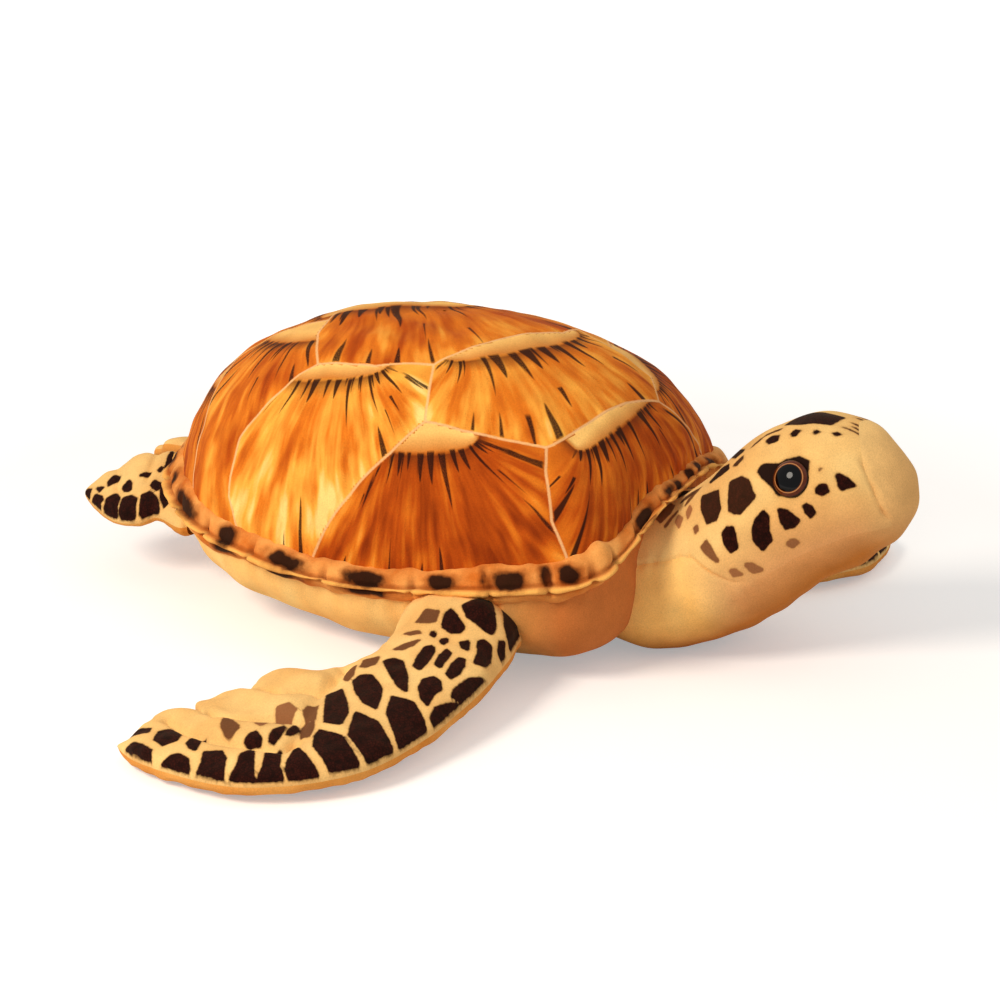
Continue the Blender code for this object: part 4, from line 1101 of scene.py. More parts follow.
spot = np.full(len(along), NO_PRINT_MM)
faded = np.zeros(len(along))
for outline, fade, both in HEAD_SPOTS:
    middle = np.mean(outline, axis=0)
    scale = np.interp(middle[0], head_length, head_girth) / MM * math.pi / 180
    flat_outline = [(a, t * scale) for a, t in outline]
    small = min(np.ptp([a for a, _ in flat_outline]), np.ptp([t for _, t in flat_outline]))
    for side in (1, -1) if both else (1,):
        near = np.abs(along - middle[0]) < PRINT_REACH_MM
        places = np.stack([along[near], side * turn[near] * scale], 1)
        gap = rounded_gap(places, flat_outline, min(SPOT_ROUNDING_MM, small / 5))
        closer = gap > spot[near]
        spot[near] = np.where(closer, gap, spot[near])
        faded[near] = np.where(closer, fade, faded[near])

# The printed skin plush is shared by the head and the upper sides of all four flippers.
SKIN_SHEEN = "#FFE3B0"
printed_skin, tree = new_material("printed_short_pile_plush_skin")
place_at = add("TexCoord", out="Object")
patch_at, faded_at, golden_at = (
    add("Attribute", attribute_name=name, out="Fac") for name in ("patch", "faded", "golden")
)
mottle = add("MapRange", add("TexNoise", place_at, Scale=28.0, Detail=2.0), 0.35, 0.65, 0.0, 1.0)
edge_noise = add("TexNoise", place_at, Scale=420.0, Detail=2.0)
ragged = add("Math", patch_at, add("Math", add("Math", edge_noise, -0.5), 0.9, operation="MULTIPLY"))
hide = add("TexVoronoi", place_at, Scale=620.0, feature="DISTANCE_TO_EDGE", out="Distance")
hide_noise = add("TexNoise", place_at, Scale=330.0, Detail=3.0, Roughness=0.6)
cracks = add("MapRange", hide, 0.0, 0.12, 0.0, 1.0)
leather = add("Math", cracks, add("MapRange", hide_noise, 0.3, 0.7, 0.0, 1.0), operation="MULTIPLY")
brown = add("Mix", leather, data_type="RGBA", i6="#140301", i7="#361009", out=2)
# a spot is faded from 0 to 1; below 0 it is the black round the eye
fading = add("Math", faded_at, 0.0, operation="MAXIMUM")
washed = add("Mix", fading, data_type="RGBA", i6=brown, i7="#B9794A", out=2)
eye_black = add("Math", add("Math", faded_at, -1.0, operation="MULTIPLY"), 0.0, operation="MAXIMUM")
deepest = add("Mix", eye_black, data_type="RGBA", i6=washed, i7="#22100A", out=2)
paint = add("Mix", mottle, data_type="RGBA", i6="#EBB66C", i7="#F5CA80", out=2)
for share, colour in (
    (golden_at, "#E2A164"),
    (add("MapRange", ragged, -1.3, 0.2, 0.0, 0.35), "#C98A48"),
    (add("MapRange", ragged, -0.25, 0.45, 0.0, 1.0), deepest),
):
    paint = add("Mix", share, data_type="RGBA", i6=paint, i7=colour, out=2)
finish_plush(paint, *grain_of(place_at), SKIN_SHEEN)

plain_throat, tree = new_material("plain_short_pile_plush_throat")
place_at = add("TexCoord", out="Object")
golden_at, jaw_at, underside_shade_at = (
    add("Attribute", attribute_name=name, out="Fac") for name in ("golden", "jaw", "deep")
)
mottle = add("MapRange", add("TexNoise", place_at, Scale=30.0, Detail=2.0), 0.3, 0.7, 0.0, 1.0)
paint = add("Mix", mottle, data_type="RGBA", i6="#FABD66", i7="#FFD07E", out=2)
# the last is painted shade: darker orange towards the underside, and a little all round the beak's tip
for share, colour in ((jaw_at, "#F5C981"), (golden_at, "#E2A164"), (underside_shade_at, "#C4752E")):
    paint = add("Mix", share, data_type="RGBA", i6=paint, i7=colour, out=2)
finish_plush(paint, *grain_of(place_at), SKIN_SHEEN)

head_faces = grid_faces(HEAD_RINGS + BEAK_RINGS - 1, HEAD_COLUMNS)
face_ring = head_faces[:, 0] // HEAD_COLUMNS
face_column = head_faces[:, 0] % HEAD_COLUMNS
head_faces = head_faces[:, ::-1]
on_beak = face_ring >= HEAD_RINGS - 1
on_top = (columns[face_column] >= -1.0001) & (columns[face_column] < 0.9999)
jaw = np.clip((along - 44) / 18, 0, 1)
near_tip = np.clip((head_end - along) / 26, 0, 1)
# golden: a tint towards the jaw and throat; its share of about a third round the beak's tip is painted shade
golden = 0.35 + (np.clip((np.abs(turn) - 72) / 45, 0, 1) * jaw - 0.35) * near_tip
# painted shade: darker towards the underside of the neck and head, and a quarter of it round the beak's tip
deep = 0.25 + (np.clip((np.abs(turn) - 112) / 35, 0, 1) - 0.25) * near_tip


def part_of(name, skin, faces, material, **values):
    """A piece from some faces of a skin, with the points that they use. The values are the whole skin's."""
    used, again = np.unique(faces, return_inverse=True)
    made = add_piece(name, skin[used], again.reshape(faces.shape), material)
    for key, value in values.items():
        give(made, key, value[used])
    return made


spotted = dict(patch=spot, faded=faded, golden=golden)
plain = dict(golden=golden, jaw=jaw, deep=deep)
head_cloth = part_of("head_cloth", head_skin, head_faces[~on_beak & on_top], printed_skin, **spotted)
throat_cloth = part_of("throat_cloth", head_skin, head_faces[~on_beak & ~on_top], plain_throat, **plain)
beak_cloth = part_of("beak_cloth", head_skin, head_faces[on_beak], plain_throat, **plain)
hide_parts("head_cover", "head_filling")
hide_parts("throat_panel")
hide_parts("beak_panel")
for piece, slot in (
    (head_cloth, "printed_skin_plush"),
    (throat_cloth, "plain_throat_plush"),
    (beak_cloth, "plain_throat_plush"),
):
    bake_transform(piece)


# ---------------------------------------------------------------- Eyes
# Moulded acrylic safety eyes on shanks, locked from behind by washers. Each is painted on its back: a black
# pupil and a copper-brown ring show through the clear gloss dome.
EYE_RADIUS = 0.009
EYE_DOME = 0.0058
EYE_FLANGE = 0.0012
EYE_SEAT = 0.0010
EYE_SKIRT = 0.001
EYE_STEPS = 72
EYE_RINGS = 26
EYE_POLE = 1e-5
# shares of the radius: where the black pupil ends, the pale ring line and where the dark rim starts
PUPIL_SHARE = 0.70
RING_LINE_SHARE = 0.775
DARK_RIM_SHARE = 0.93

# matt black nylon, a little cloudy, on the washers behind the cloth
washer_nylon, tree = new_material("moulded_black_nylon_washer")
cloud = add("TexNoise", add("TexCoord", out="Object"), Scale=350.0, Detail=3.0)
nylon = add("Mix", cloud, data_type="RGBA", i6="#15110F", i7="#2B2521", out=2)
add("OutputMaterial", add("BsdfPrincipled", nylon, Roughness=add("MapRange", cloud, 0.3, 0.7, 0.45, 0.62)))
for name in ("eye_washer_left", "eye_washer_right"):
    washer = bpy.data.objects[name]
    washer.data.materials.clear()
    washer.data.materials.append(washer_nylon)

eye_plastic, tree = new_material("moulded_clear_acrylic_eye")
place_at = add("TexCoord", out="Object")
radial = add("Attribute", attribute_name="radial", out="Fac")
fleck = add("TexNoise", place_at, Scale=900.0, Detail=2.0)
from_line = add("Math", add("Math", radial, -RING_LINE_SHARE), operation="ABSOLUTE")
paint = add("Mix", fleck, data_type="RGBA", i6="#3C1405", i7="#6C2F0E", out=2)
for share, colour in (
    (add("MapRange", from_line, 0.012, 0.035, 0.8, 0.0), "#C98850"),
    (add("MapRange", radial, PUPIL_SHARE, PUPIL_SHARE + 0.05, 1.0, 0.0), "#020101"),
    (add("MapRange", radial, DARK_RIM_SHARE, DARK_RIM_SHARE + 0.04, 0.0, 1.0), "#1A0A05"),
):
    paint = add("Mix", share, data_type="RGBA", i6=paint, i7=colour, out=2)
scuffs = add("TexNoise", place_at, Scale=260.0, Detail=3.0)
worn = add("MapRange", scuffs, 0.4, 0.8, 0.04, 0.10)
dome_shader = add("BsdfPrincipled", paint, Roughness=worn, IOR=1.49, Specular_IOR_Level=0.14)
add("OutputMaterial", dome_shader)
circle = [(math.cos(math.tau * k / EYE_STEPS), math.sin(math.tau * k / EYE_STEPS)) for k in range(EYE_STEPS)]
for name, side in (("eye_right", 1), ("eye_left", -1)):
    step = np.interp(EYE_ALONG_MM, head_length, head_steps)
    angle = math.radians(side * EYE_TURN)
    here = head_surface(step, angle)
    ahead = head_surface(step + 0.01, angle) - here
    round_it = head_surface(step, angle + 0.01) - here
    look = np.cross(ahead, round_it)
    look = look / np.linalg.norm(look) * np.sign(look[0] * -side)
    seat = here - look * (EYE_SEAT + EYE_FLANGE)
    turned = Matrix.Translation(Vector(seat)) @ Vector(look).to_track_quat("Z", "Y").to_matrix().to_4x4()
    points = [(EYE_RADIUS * c, EYE_RADIUS * s, -EYE_SKIRT) for c, s in circle]
    radial_share = [1.0] * EYE_STEPS
    for ring_step in range(EYE_RINGS):
        lean = math.pi / 2 * (1 - ring_step / (EYE_RINGS - 1))
        radius = EYE_RADIUS * math.sin(lean)
        height = EYE_FLANGE + (EYE_DOME - EYE_FLANGE) * math.cos(lean)
        points += [(max(radius, EYE_POLE) * c, max(radius, EYE_POLE) * s, height) for c, s in circle]
        radial_share += [radius / EYE_RADIUS] * EYE_STEPS
    faces = grid_faces(EYE_RINGS + 1, EYE_STEPS)[:, ::-1]
    placed = [tuple(turned @ Vector(point)) for point in points]
    eye = add_piece(name + "_dome", placed, faces, eye_plastic)
    give(eye, "radial", radial_share)
    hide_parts(name)
    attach(eye, "head")


# ---------------------------------------------------------------- Front flippers
# Each is a flat stuffed bag: a printed upper panel and a plain under panel, sewn round the edge. Stitched
# channels divide its trailing edge into three puffy plain lobes. The left one is swept forward.
FRONT_CENTRE = np.array([0.10371, -0.055, 0.025])
FRONT_REACH = 0.157
FRONT_SWEPT_SHARE = 0.90
FRONT_BLADE_HALF_DEPTH = 0.012
FRONT_CLEAR = 0.0152
FRONT_SWEEP = math.radians(100)
FRONT_RINGS = 170
FRONT_COLUMNS = 176
FRONT_EDGE_MM = 190
BLADE_FULLNESS = 0.8
THINNEST = 0.0002
# leading edge out and back, trailing edge out and back, share of the root's height left under it, half depth
# as a share of the blade's, share of the forward sweep
FRONT_STATIONS = (
    (-0.05, -0.195, -0.05, 0.170, 1.0, 0.78, 0.0),
    (0.0, -0.204, 0.0, 0.1815, 1.0, 0.817, 0.0),
    (0.09, -0.216, 0.11, 0.165, 0.75, 1.0, 0.22),
    (0.26, -0.223, 0.23, 0.16, 0.58, 1.04, 0.55),
    (0.43, -0.205, 0.33, 0.205, 0.34, 1.04, 0.82),
    (0.58, -0.175, 0.37, 0.30, 0.17, 0.98, 0.96),
    (0.77, -0.11, 0.41, 0.44, 0.06, 0.92, 1.0),
    (0.90, 0, 0.51, 0.45, 0.02, 0.86, 1.0),
    (0.98, 0.14, 0.605, 0.545, 0, 0.80, 1.0),
    (1.0, 0.25, 0.655, 0.525, 0, 0.74, 1.0),
    (0.99, 0.38, 0.705, 0.61, 0.03, 0.66, 1.0),
    (0.955, 0.52, 0.785, 0.625, 0.08, 0.52, 1.0),
    (0.91, 0.60, 0.85, 0.635, 0.12, 0.34, 1.0),
    (0.875, 0.65, 0.875, 0.65, 0.16, 0.0, 1.0),
)
# The printed cells: outlines in millimetres out and back from the root, and how faded each is.
FRONT_CELLS = (
    ([(-6, -19.5), (2, -23.2), (9.5, -26.8), (12.5, -30.5), (10, -38), (-8, -36)], 0.0),
    ([(11, -7.5), (2.5, -12.5), (-4, -14.5), (14.5, -26), (18, -26), (19, -23), (16.5, -12.5)], 0.0),
    ([(15, -2), (13, -4), (21.5, -15), (24, -14.5), (26, -10), (23.5, -3), (17.5, -2)], 0.0),
    ([(14.5, 8), (15, 0.5), (21.5, -0.5), (23, 3.5), (21.5, 10.5)], 0.3),
    ([(26.5, 0.5), (25.5, -2), (27.5, -3.5), (30.5, -3.5), (29, 0)], 0.0),
    ([(30.5, -6), (28, -9.5), (31, -11), (35, -10), (34.5, -8)], 0.0),
    ([(29, -15), (26, -18.5), (28, -20.5), (34, -22), (34, -19)], 0.0),
    ([(55, -4), (45.5, -1.5), (38, -2), (36, -6), (40.5, -8.5), (50, -9.5), (57, -8.5)], 0.0),
    ([(51, -13), (41, -11), (36, -12.5), (38, -16), (44.5, -17), (52.5, -16.5)], 0.0),
    ([(56, -21), (45.5, -19), (39.5, -20.5), (39, -23), (44, -25.5), (52, -26), (57.5, -24)], 0.0),
    ([(24, -22), (21.5, -24), (22, -28), (31.5, -33), (39, -32), (40.5, -28), (32.5, -25.5)], 0.0),
    ([(16.5, -28.5), (14, -30), (15.5, -31.5), (18, -35), (23.5, -35.5), (23, -31.5)], 0.0),
    ([(42, 13), (38.5, 9.5), (33, 2), (38, 3), (43, 7.5)], 0.3),
    ([(28.5, 13.5), (26.5, 6), (28.5, 3.5), (31, 9)], 0.35),
    ([(52, 12.5), (49, 9), (49.5, 4), (62.5, -5.5), (74, -10.5), (72, -6), (63.5, 4)], 0.0),
    ([(69, -13), (62.5, -12.5), (58.5, -16.5), (60, -21), (66, -24.5), (71.5, -22.5), (78.5, -22.5)]
     + [(76.5, -18.5)], 0.0),
    ([(67, -28.5), (61.5, -27.5), (49, -30), (43.5, -34), (40, -36.5), (53, -35), (63, -33), (64.5, -32.5)],
     0.0),
    ([(84.5, -26.5), (77.5, -25), (72, -27.5), (64.5, -32.5), (66.5, -32.5), (78, -30.5), (85.5, -29)], 0.0),
    ([(60, 20.5), (51, 23), (48.5, 16), (57.5, 13.5), (61, 16.5)], 0.3),
    ([(69.5, 24), (61.5, 26), (56.5, 24), (65.5, 20.5), (71, 21.5)], 0.35),
    ([(69, 19.5), (65, 18.5), (64.5, 12), (72.5, 2), (80, -1), (90.5, -3.5), (88, 4), (79.5, 13.5)], 0.0),
    ([(77.5, -4.5), (78.5, -16.5), (89, -28), (107, -23), (91, -8)], 0.0),
    ([(92.5, 21.5), (82.5, 25.5), (76.5, 21.5), (86.5, 13), (97.5, 6.5), (108, 5), (108.5, 13)], 0.0),
    ([(95, 4.5), (97, -7.5), (110, -22), (123.5, -16), (114.5, -1.5), (105, 2)], 0.0),
    ([(118, 13), (113, 13), (114, 1), (126.5, -14), (136.5, -5), (126.5, 9.5)], 0.0),
    ([(140, 15), (129, 15.5), (131.5, 10), (140, -1.5), (144, 3.5), (148, 9.5), (144.5, 13)], 0.0),
    ([(147, 23), (137, 26), (130.5, 22.5), (143.5, 15), (148.5, 11), (153, 19), (156, 21)], 0.0),
    ([(150, 34), (141.5, 35.5), (137, 32), (147.5, 25.5), (155.5, 21.5), (160, 30), (160, 33)], 0.0),
    ([(151, 51), (143.5, 53), (142, 44.5), (146.5, 39.5), (157, 35.5), (156.5, 48.5), (156.5, 50)], 0.0),
    ([(153.5, 69.5), (149, 66), (147.5, 62), (150, 56.5), (156.5, 53), (154, 67.5)], 0.0),
    ([(142.5, 95), (142, 91.5), (143.5, 85), (148.5, 76), (152.5, 74.5)], 0.0),
    ([(141, 81), (133, 83), (129, 78.5), (133.5, 69.5), (139.5, 68.5), (145, 73.5)], 0.0),
    ([(141, 64.5), (136, 63.5), (131.5, 59.5), (145, 56.5), (144.5, 60)], 0.0),
    ([(135.5, 97), (129.5, 97), (130.5, 87.5), (135, 86), (135, 95.5)], 0.0),
    ([(125.5, 55.5), (119.5, 56.5), (122, 50), (126, 44.5), (133, 46), (132, 49.5)], 0.3),
    ([(133, 40), (127, 39), (125.5, 37), (130, 31.5), (132.5, 30.5), (135, 37)], 0.0),
    ([(128, 30), (122, 30.5), (116.5, 27.5), (124, 25), (131, 26), (131, 28)], 0.0),
    ([(106, 39), (101, 40.5), (98, 36), (100, 30.5), (107, 29), (116, 29.5), (116, 33)], 0.6),
    ([(118.5, 20), (107, 24), (108.5, 18), (113, 15), (121, 14), (121.5, 17.5)], 0.3),
    ([(102.5, 27.5), (95, 28), (91.5, 25), (108.5, 18), (106, 24)], 0.35),
    ([(120.5, 25.5), (112.5, 24.5), (114.5, 21.5), (122, 22), (123.5, 23.5)], 0.0),
    ([(121, 41), (111, 42.5), (115, 37), (122.5, 36.5)], 0.6),
)
# Also as millimetres out and back: the channels stitched through the bag between its lobes, the crease where
# the lobes meet the printed part, the ridges that the stuffing pushes up in the lobes, and the notches where
# the channels draw the trailing edge in.
CHANNELS = (
    [(83, 57), (88, 46.5), (81.5, 40), (80, 30), (73.5, 28.5), (65, 29), (58.5, 29.5)],
    [(112, 69), (115.5, 62), (115.5, 55), (115, 48.5), (110, 40), (110.5, 31), (109, 25)],
    [(122, 84.5), (125.5, 78), (131, 68), (134, 56), (135.5, 43.5), (134.5, 31), (132.5, 20.5), (125.5, 18)],
)
LOBE_CREASE = [(65.5, 30.5), (80.5, 30.5), (96.5, 25), (108.5, 22.5), (119, 19.5), (128, 18.5)]
LOBE_RIDGES = (
    [(60, 64), (68, 46), (71, 35)],
    [(84, 76), (91, 56), (95, 38)],
    [(112, 84), (117, 68), (122, 50), (123, 34)],
)
NOTCHES = ((76, 66), (102, 82), (122, 92))
CHANNEL_DEPTH_MM = 4.0
CHANNEL_WIDTH_MM = 2.6
LOBE_CREASE_DEPTH_MM = 2.0
LOBE_CREASE_WIDTH_MM = 2.2
LOBE_RIDGE_MM = 2.6
LOBE_RIDGE_WIDTH_MM = 7
# the full shoulder of stuffing over the root: how high, how far out its middle is and how far it reaches
SHOULDER_MM = 12.0
SHOULDER_OUT_MM = 3
SHOULDER_SIZE_MM = 19
# the gathers along the sewn edge: how high, from one to the next (in rings on the hind flippers), how far in
EDGE_PUCKER_MM = 0.3
EDGE_PUCKER_PITCH = 8
EDGE_PUCKER_REACH_MM = 4
# how far the trailing edge swells out between its notches, how wide a notch is, then over which millimetres
# this sets in and ends, counted out (0) or back (1)
FRONT_SWELL = (2.0, 9, 0, 36, 10, 122, 8)
# how round a printed cell's corners are, how much the front flippers' ones grow, and their bare edge
CELL_ROUNDING_MM = 1.0
FRONT_CELL_GROWTH_MM = 0.1
BARE_EDGE_MM = 0.3


def cells(places, outlines):
    """How deep each place lies in a printed cell, in millimetres, and how faded the nearest cell is."""
    depth = np.full(len(places), NO_PRINT_MM)
    fades = np.zeros(len(places))
    for outline, fade in outlines:
        middle = np.mean(outline, axis=0)
        width = min(np.ptp(np.array(outline), axis=0))
        near = np.abs(places - middle).max(axis=1) < PRINT_REACH_MM
        gap = rounded_gap(places[near], outline, min(CELL_ROUNDING_MM, width / 5))
        closer = gap > depth[near]
        depth[near] = np.where(closer, gap, depth[near])
        fades[near] = np.where(closer, fade, fades[near])
    return depth, fades


plain_under, tree = new_material("plain_short_pile_plush_underside")
place_at = add("TexCoord", out="Object")
mottle = add("MapRange", add("TexNoise", place_at, Scale=35.0, Detail=2.0), 0.3, 0.7, 0.0, 1.0)
tan = add("Mix", mottle, data_type="RGBA", i6="#D98836", i7="#EBA654", out=2)
finish_plush(tan, *grain_of(place_at))


def flipper_bag(lead, trail, flat_lead, flat_trail, half_depth, notches, swell_out, columns, side):
    """A stuffed bag between two edges, as rings from the leading edge over the top to the trailing edge and
    back underneath. Its points, and for each its place on the flat panel, whether it is on top (1) or under
    (-1), and how far it is from the sewn edge, in millimetres."""
    swell_mm, notch_mm, way_along, first, run_in, last, run_out = swell_out
    notch_gap = np.min([np.linalg.norm(flat_trail - notch, axis=1) for notch in notches], axis=0)
    here = flat_trail[:, way_along]
    lobed_part = np.clip((here - first) / run_in, 0, 1) * np.clip((last - here) / run_out, 0, 1)
    swollen = (swell_mm * (1 - np.exp(-((notch_gap / notch_mm) ** 2))) * lobed_part)[:, None]
    way, flat_way = (
        (stop - start) / np.maximum(np.linalg.norm(stop - start, axis=1, keepdims=True), 1e-9)
        for start, stop in ((lead, trail), (flat_lead, flat_trail))
    )
    trail = trail + way * swollen * MM
    flat_trail = flat_trail + flat_way * swollen

    angle = np.linspace(0, math.tau, columns, endpoint=False)
    across = np.sign(np.cos(angle)) * np.abs(np.cos(angle)) ** BLADE_FULLNESS
    over = np.sign(np.sin(angle)) * np.abs(np.sin(angle)) ** BLADE_FULLNESS
    middle, chord = (lead + trail) / 2, (lead - trail) / 2
    flat_chord = chord / np.maximum(np.linalg.norm(chord, axis=1, keepdims=True), 1e-9)
    rise = np.array([0, 0, 1.0]) - flat_chord * flat_chord[:, 2:]
    rise /= np.linalg.norm(rise, axis=1, keepdims=True)
    half_depth = np.maximum(half_depth, THINNEST)
    bag = middle[:, None] + chord[:, None] * across[None, :, None]
    bag = bag + rise[:, None] * (half_depth[:, None] * over[None])[..., None]
    if side < 0:
        bag, across, over = bag[:, ::-1], across[::-1], over[::-1]
    flat_middle, flat_half = (flat_lead + flat_trail) / 2, (flat_lead - flat_trail) / 2
    flat = (flat_middle[:, None] + flat_half[:, None] * across[None, :, None]).reshape(-1, 2)
    chord_mm = np.repeat(np.linalg.norm(flat_half, axis=1) * 2, columns)
    from_edge = (1 - np.abs(np.tile(across, len(lead)))) * chord_mm / 2
    return bag, flat, np.tile(over, len(lead)), from_edge


def nearest_line(places, lines):
    """How far places of a flat map lie from the nearest of some open lines."""
    return np.min([outline_distance(places, line, closed=False) for line in lines], axis=0)


def cut_panels(name, bag, raised, flat, over, from_edge, outlines, growth):
    """A flipper's printed upper panel and plain under panel, from its bag, how many millimetres the stuffing
    raises each point, and the printed cells with their growth."""
    lift = raised * np.clip(from_edge / 3, 0.15, 1) * MM
    skin = bag.reshape(-1, 3) + grid_normals(bag).reshape(-1, 3) * lift[:, None]
    skin[:, 2] = np.maximum(skin[:, 2], FLOOR_CLEARANCE)
    depth, fades = cells(flat, outlines)
    depth = np.minimum(depth + growth, from_edge * 1.5 - BARE_EDGE_MM)
    faces = grid_faces(*bag.shape[:2])
    on_top = np.all(over[faces] >= -1e-9, axis=1)
    print_values = dict(patch=depth, faded=fades, golden=depth * 0)
    upper = part_of(name + "_upper_cloth", skin, faces[on_top], printed_skin, **print_values)
    return upper, part_of(name + "_under_cloth", skin, faces[~on_top], plain_under)


for word, side, sweep in (("right", -1, 0.0), ("left", 1, FRONT_SWEEP)):
    rows = []
    for lead_out, lead_back, trail_out, trail_back, lift, depth_share, turned in FRONT_STATIONS:
        depth = depth_share * FRONT_BLADE_HALF_DEPTH
        height = lift * FRONT_CLEAR + max(depth, 0.34 * FRONT_BLADE_HALF_DEPTH if lift < 0.2 else 0)
        row = []
        for out, back in ((lead_out, lead_back), (trail_out, trail_back)):
            angle = -side * sweep * turned
            length = FRONT_REACH * (FRONT_SWEPT_SHARE if sweep else 1)
            x, y = side * out * length, back * length
            row += [
                side * FRONT_CENTRE[0] + x * math.cos(angle) - y * math.sin(angle),
                FRONT_CENTRE[1] + x * math.sin(angle) + y * math.cos(angle),
            ]
        flat = [share * FRONT_REACH / MM for share in (lead_out, lead_back, trail_out, trail_back)]
        rows.append([*row, height, depth, *flat])
    rows = np.array(rows)
    beyond = rows[-2][[2, 3, 0, 1, 4, 5, 8, 9, 6, 7]] * (1, 1, 1, 1, 1, -1, 1, 1, 1, 1)
    fine = curve(rows, FRONT_RINGS, rows[0] * 2 - rows[1], beyond, (1, 1, 1, 1))
    fine[-1, 5] = 0
    lead = np.stack([fine[:, 0], fine[:, 1], fine[:, 4]], 1)
    trail = np.stack([fine[:, 2], fine[:, 3], fine[:, 4]], 1)
    bag, flat, over, from_edge = flipper_bag(
        lead, trail, fine[:, 6:8], fine[:, 8:10], fine[:, 5], NOTCHES, FRONT_SWELL, FRONT_COLUMNS, side
    )
    upper_side = np.clip(over * 2.5, 0, 1)
    bag_flat = bag.reshape(-1, 3)
    channel_gap = nearest_line(flat, CHANNELS)
    ridge_gap = nearest_line(flat, LOBE_RIDGES)
    crease_gap = nearest_line(flat, [LOBE_CREASE])
    shoulder = np.exp(-(((flat[:, 0] - SHOULDER_OUT_MM) / SHOULDER_SIZE_MM) ** 2))
    shoulder *= np.clip((from_edge - 1) / 16, 0, 1) ** 0.7
    edge_run = np.repeat(np.arange(FRONT_RINGS) / FRONT_RINGS * FRONT_EDGE_MM, FRONT_COLUMNS)
    edge_ripple = np.exp(-from_edge / EDGE_PUCKER_REACH_MM)
    edge_ripple *= np.sin(edge_run / EDGE_PUCKER_PITCH * math.tau + 2 * lumps(bag_flat, 0.03, 41))
    raised = (
        0.5 * lumps(bag_flat, 0.03, 42)
        + 0.25 * lumps(bag_flat, 0.012, 43)
        - CHANNEL_DEPTH_MM * np.exp(-((channel_gap / CHANNEL_WIDTH_MM) ** 2)) * upper_side
        - LOBE_CREASE_DEPTH_MM * np.exp(-((crease_gap / LOBE_CREASE_WIDTH_MM) ** 2)) * upper_side
        + LOBE_RIDGE_MM * np.exp(-((ridge_gap / LOBE_RIDGE_WIDTH_MM) ** 2)) * upper_side
        + SHOULDER_MM * shoulder * upper_side
        + EDGE_PUCKER_MM * edge_ripple
    )
    name = f"front_flipper_{word}"
    upper, under = cut_panels(name, bag, raised, flat, over, from_edge, FRONT_CELLS, FRONT_CELL_GROWTH_MM)
    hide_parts(name + "_upper_panel", name + "_filling")
    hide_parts(name + "_under_panel")
    root_x = side * FRONT_CENTRE[0]
    for piece, slot in ((upper, "printed_skin_plush"), (under, "plain_underside_plush")):
        if sweep:
            start, end = (root_x, -0.055, 0.025), (root_x, -0.110, 0.025)
        else:
            start, end = (root_x - side * 0.004, -0.055, 0.025), (root_x + side * 0.016, -0.055, 0.025)
        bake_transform(piece)


# ---------------------------------------------------------------- Hind flippers
# Two small flat bags of the same two plushes, sewn in under the rim near the tail. Only the right one shows
# in the photograph; the left one is its mirror image.
HIND_CENTRE = np.array([0.04086, 0.13098, 0.039])
HIND_CHORD = np.array([0.97686, -0.21389, 0])
HIND_OUTWARD = np.array([0.21389, 0.97686, 0])
HIND_ROOT_INSIDE = 0.005
HIND_ROOT_HALF_CHORD = 0.019
HIND_ROOT_HALF_DEPTH = 0.0075
HIND_REACH = 0.064
HIND_RINGS = 84
HIND_COLUMNS = 110
# outer edge out, back and down, inner edge out, back and down, half depth as a share of the root's
HIND_STATIONS = (
    (0.16, 0.21, 0.000, -0.48, 0.34, -0.280, 1.00),
    (0.20, 0.37, 0.060, -0.44, 0.63, -0.290, 1.02),
    (0.18, 0.61, 0.085, -0.32, 0.84, -0.205, 0.88),
    (0.09, 0.84, 0.045, -0.19, 1.00, -0.110, 0.64),
    (-0.04, 1.05, -0.040, -0.04, 1.05, -0.040, 0.0),
)
# the printed cells, channels, notches and swelling edge, as on the front flippers
HIND_CELLS = (
    ([(-6, 19), (-7, 17), (-4, 7.5), (-0.5, 4.5), (9, 8.5), (3.5, 14.5)], 0.0),
    ([(8, 25.5), (0.5, 28), (-1.5, 24), (1, 17.5), (6.5, 13), (10, 11.5), (12.5, 21), (11, 24)], 0.0),
    ([(8.5, 38.5), (2, 39.5), (0.5, 34.5), (2.5, 29.5), (8, 27.5), (12.5, 25.5), (13, 34.5)], 0.0),
    ([(6.5, 49.5), (2, 50), (-1, 45.5), (1.5, 41), (7.5, 39.5), (12, 37.5), (9, 47.5)], 0.0),
    ([(2.5, 59.5), (0, 59), (0.5, 53.5), (3, 51), (5.5, 52), (7.5, 51), (4.5, 57)], 0.0),
    ([(-1, 66), (-4, 67), (-4, 63.5), (1, 62), (2, 61.5), (1, 63)], 0.0),
    ([(-5.5, 26), (-9, 25.5), (-7, 19.5), (-2, 18.5), (-2.5, 22.5)], 0.0),
    ([(-16.5, 23.5), (-26.5, 27), (-31.5, 28), (-13.5, 17), (-13, 18.5)], 0.0),
    ([(-15.5, 28), (-19, 27), (-17.5, 24.5), (-14, 25)], 0.0),
    ([(-11, 37), (-13, 34), (-14.5, 31), (-10.5, 31.5)], 0.0),
    ([(-4, 44), (-8.5, 42), (-7, 38.5), (-1.5, 36.5), (-1, 40)], 0.0),
    ([(-7, 55), (-12.5, 53), (-11, 48.5), (-6.5, 49.5), (-4, 52.5)], 0.0),
    ([(-4, 60.5), (-4, 54.5), (-1, 56)], 0.0),
)
HIND_CHANNELS = ([(-29, 36), (-18, 33), (-8, 30)], [(-19, 56), (-10, 50), (-2, 45)])
HIND_NOTCHES = ((-29, 36), (-19, 56))
HIND_CHANNEL_DEPTH_MM = 1.6
HIND_CHANNEL_WIDTH_MM = 1.6
HIND_PUCKER_MM = 0.25
HIND_SWELL = (3.2, 6, 1, 20, 8, 66, 6)
HIND_CELL_GROWTH_MM = 0.3

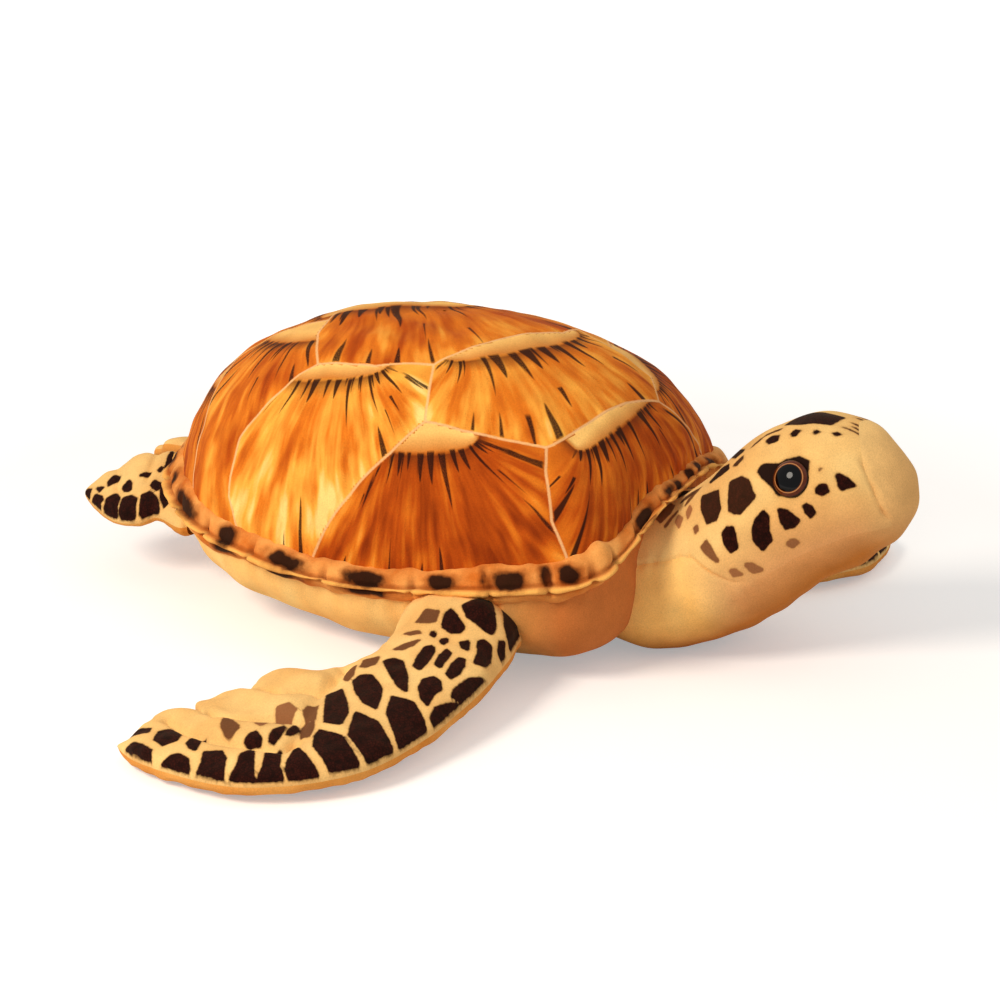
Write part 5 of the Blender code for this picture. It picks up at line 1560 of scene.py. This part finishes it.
for word, side in (("right", -1), ("left", 1)):
    mirror = np.array([side, 1, 1])
    centre = HIND_CENTRE * mirror
    chord = HIND_CHORD * mirror * HIND_ROOT_HALF_CHORD
    inward = -HIND_OUTWARD * mirror * HIND_ROOT_INSIDE
    rows = [
        [*(centre + chord * 0.94 + inward), *(centre - chord * 0.94 + inward), HIND_ROOT_HALF_DEPTH * 0.96]
        + [18, -9, -20, -1],
        [*(centre + chord), *(centre - chord), HIND_ROOT_HALF_DEPTH, 18.6, -4, -18.6, 4],
    ]
    for lead_out, lead_back, lead_down, trail_out, trail_back, trail_down, share in HIND_STATIONS:
        lead = centre + np.array([side * lead_out, lead_back, -lead_down]) * HIND_REACH
        trail = centre + np.array([side * trail_out, trail_back, -trail_down]) * HIND_REACH
        flat = [v * HIND_REACH / MM for v in (lead_out, lead_back, trail_out, trail_back)]
        rows.append([*lead, *trail, share * HIND_ROOT_HALF_DEPTH, *flat])
    rows = np.array(rows)
    beyond = rows[-2][[3, 4, 5, 0, 1, 2, 6, 9, 10, 7, 8]] * (1, 1, 1, 1, 1, 1, -1, 1, 1, 1, 1)
    fine = curve(rows, HIND_RINGS, rows[0] * 2 - rows[1], beyond, (1,) * 6)
    lead, trail, flat_lead, flat_trail = fine[:, :3], fine[:, 3:6], fine[:, 7:9], fine[:, 9:11]
    bag, flat, over, from_edge = flipper_bag(
        lead, trail, flat_lead, flat_trail, fine[:, 6], HIND_NOTCHES, HIND_SWELL, HIND_COLUMNS, side
    )
    ring = np.repeat(np.arange(HIND_RINGS), HIND_COLUMNS)
    edge_ripple = np.exp(-from_edge / EDGE_PUCKER_REACH_MM) * np.sin(ring / EDGE_PUCKER_PITCH * math.tau)
    raised = (
        0.4 * lumps(bag.reshape(-1, 3), 0.025, 51)
        - HIND_CHANNEL_DEPTH_MM * np.exp(-((nearest_line(flat, HIND_CHANNELS) / HIND_CHANNEL_WIDTH_MM) ** 2))
        + HIND_PUCKER_MM * edge_ripple
    )
    name = f"hind_flipper_{word}"
    upper, under = cut_panels(name, bag, raised, flat, over, from_edge, HIND_CELLS, HIND_CELL_GROWTH_MM)
    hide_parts(name + "_upper_panel", name + "_filling")
    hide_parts(name + "_under_panel")
    for piece, slot in ((upper, "printed_skin_plush"), (under, "plain_underside_plush")):
        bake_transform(piece)
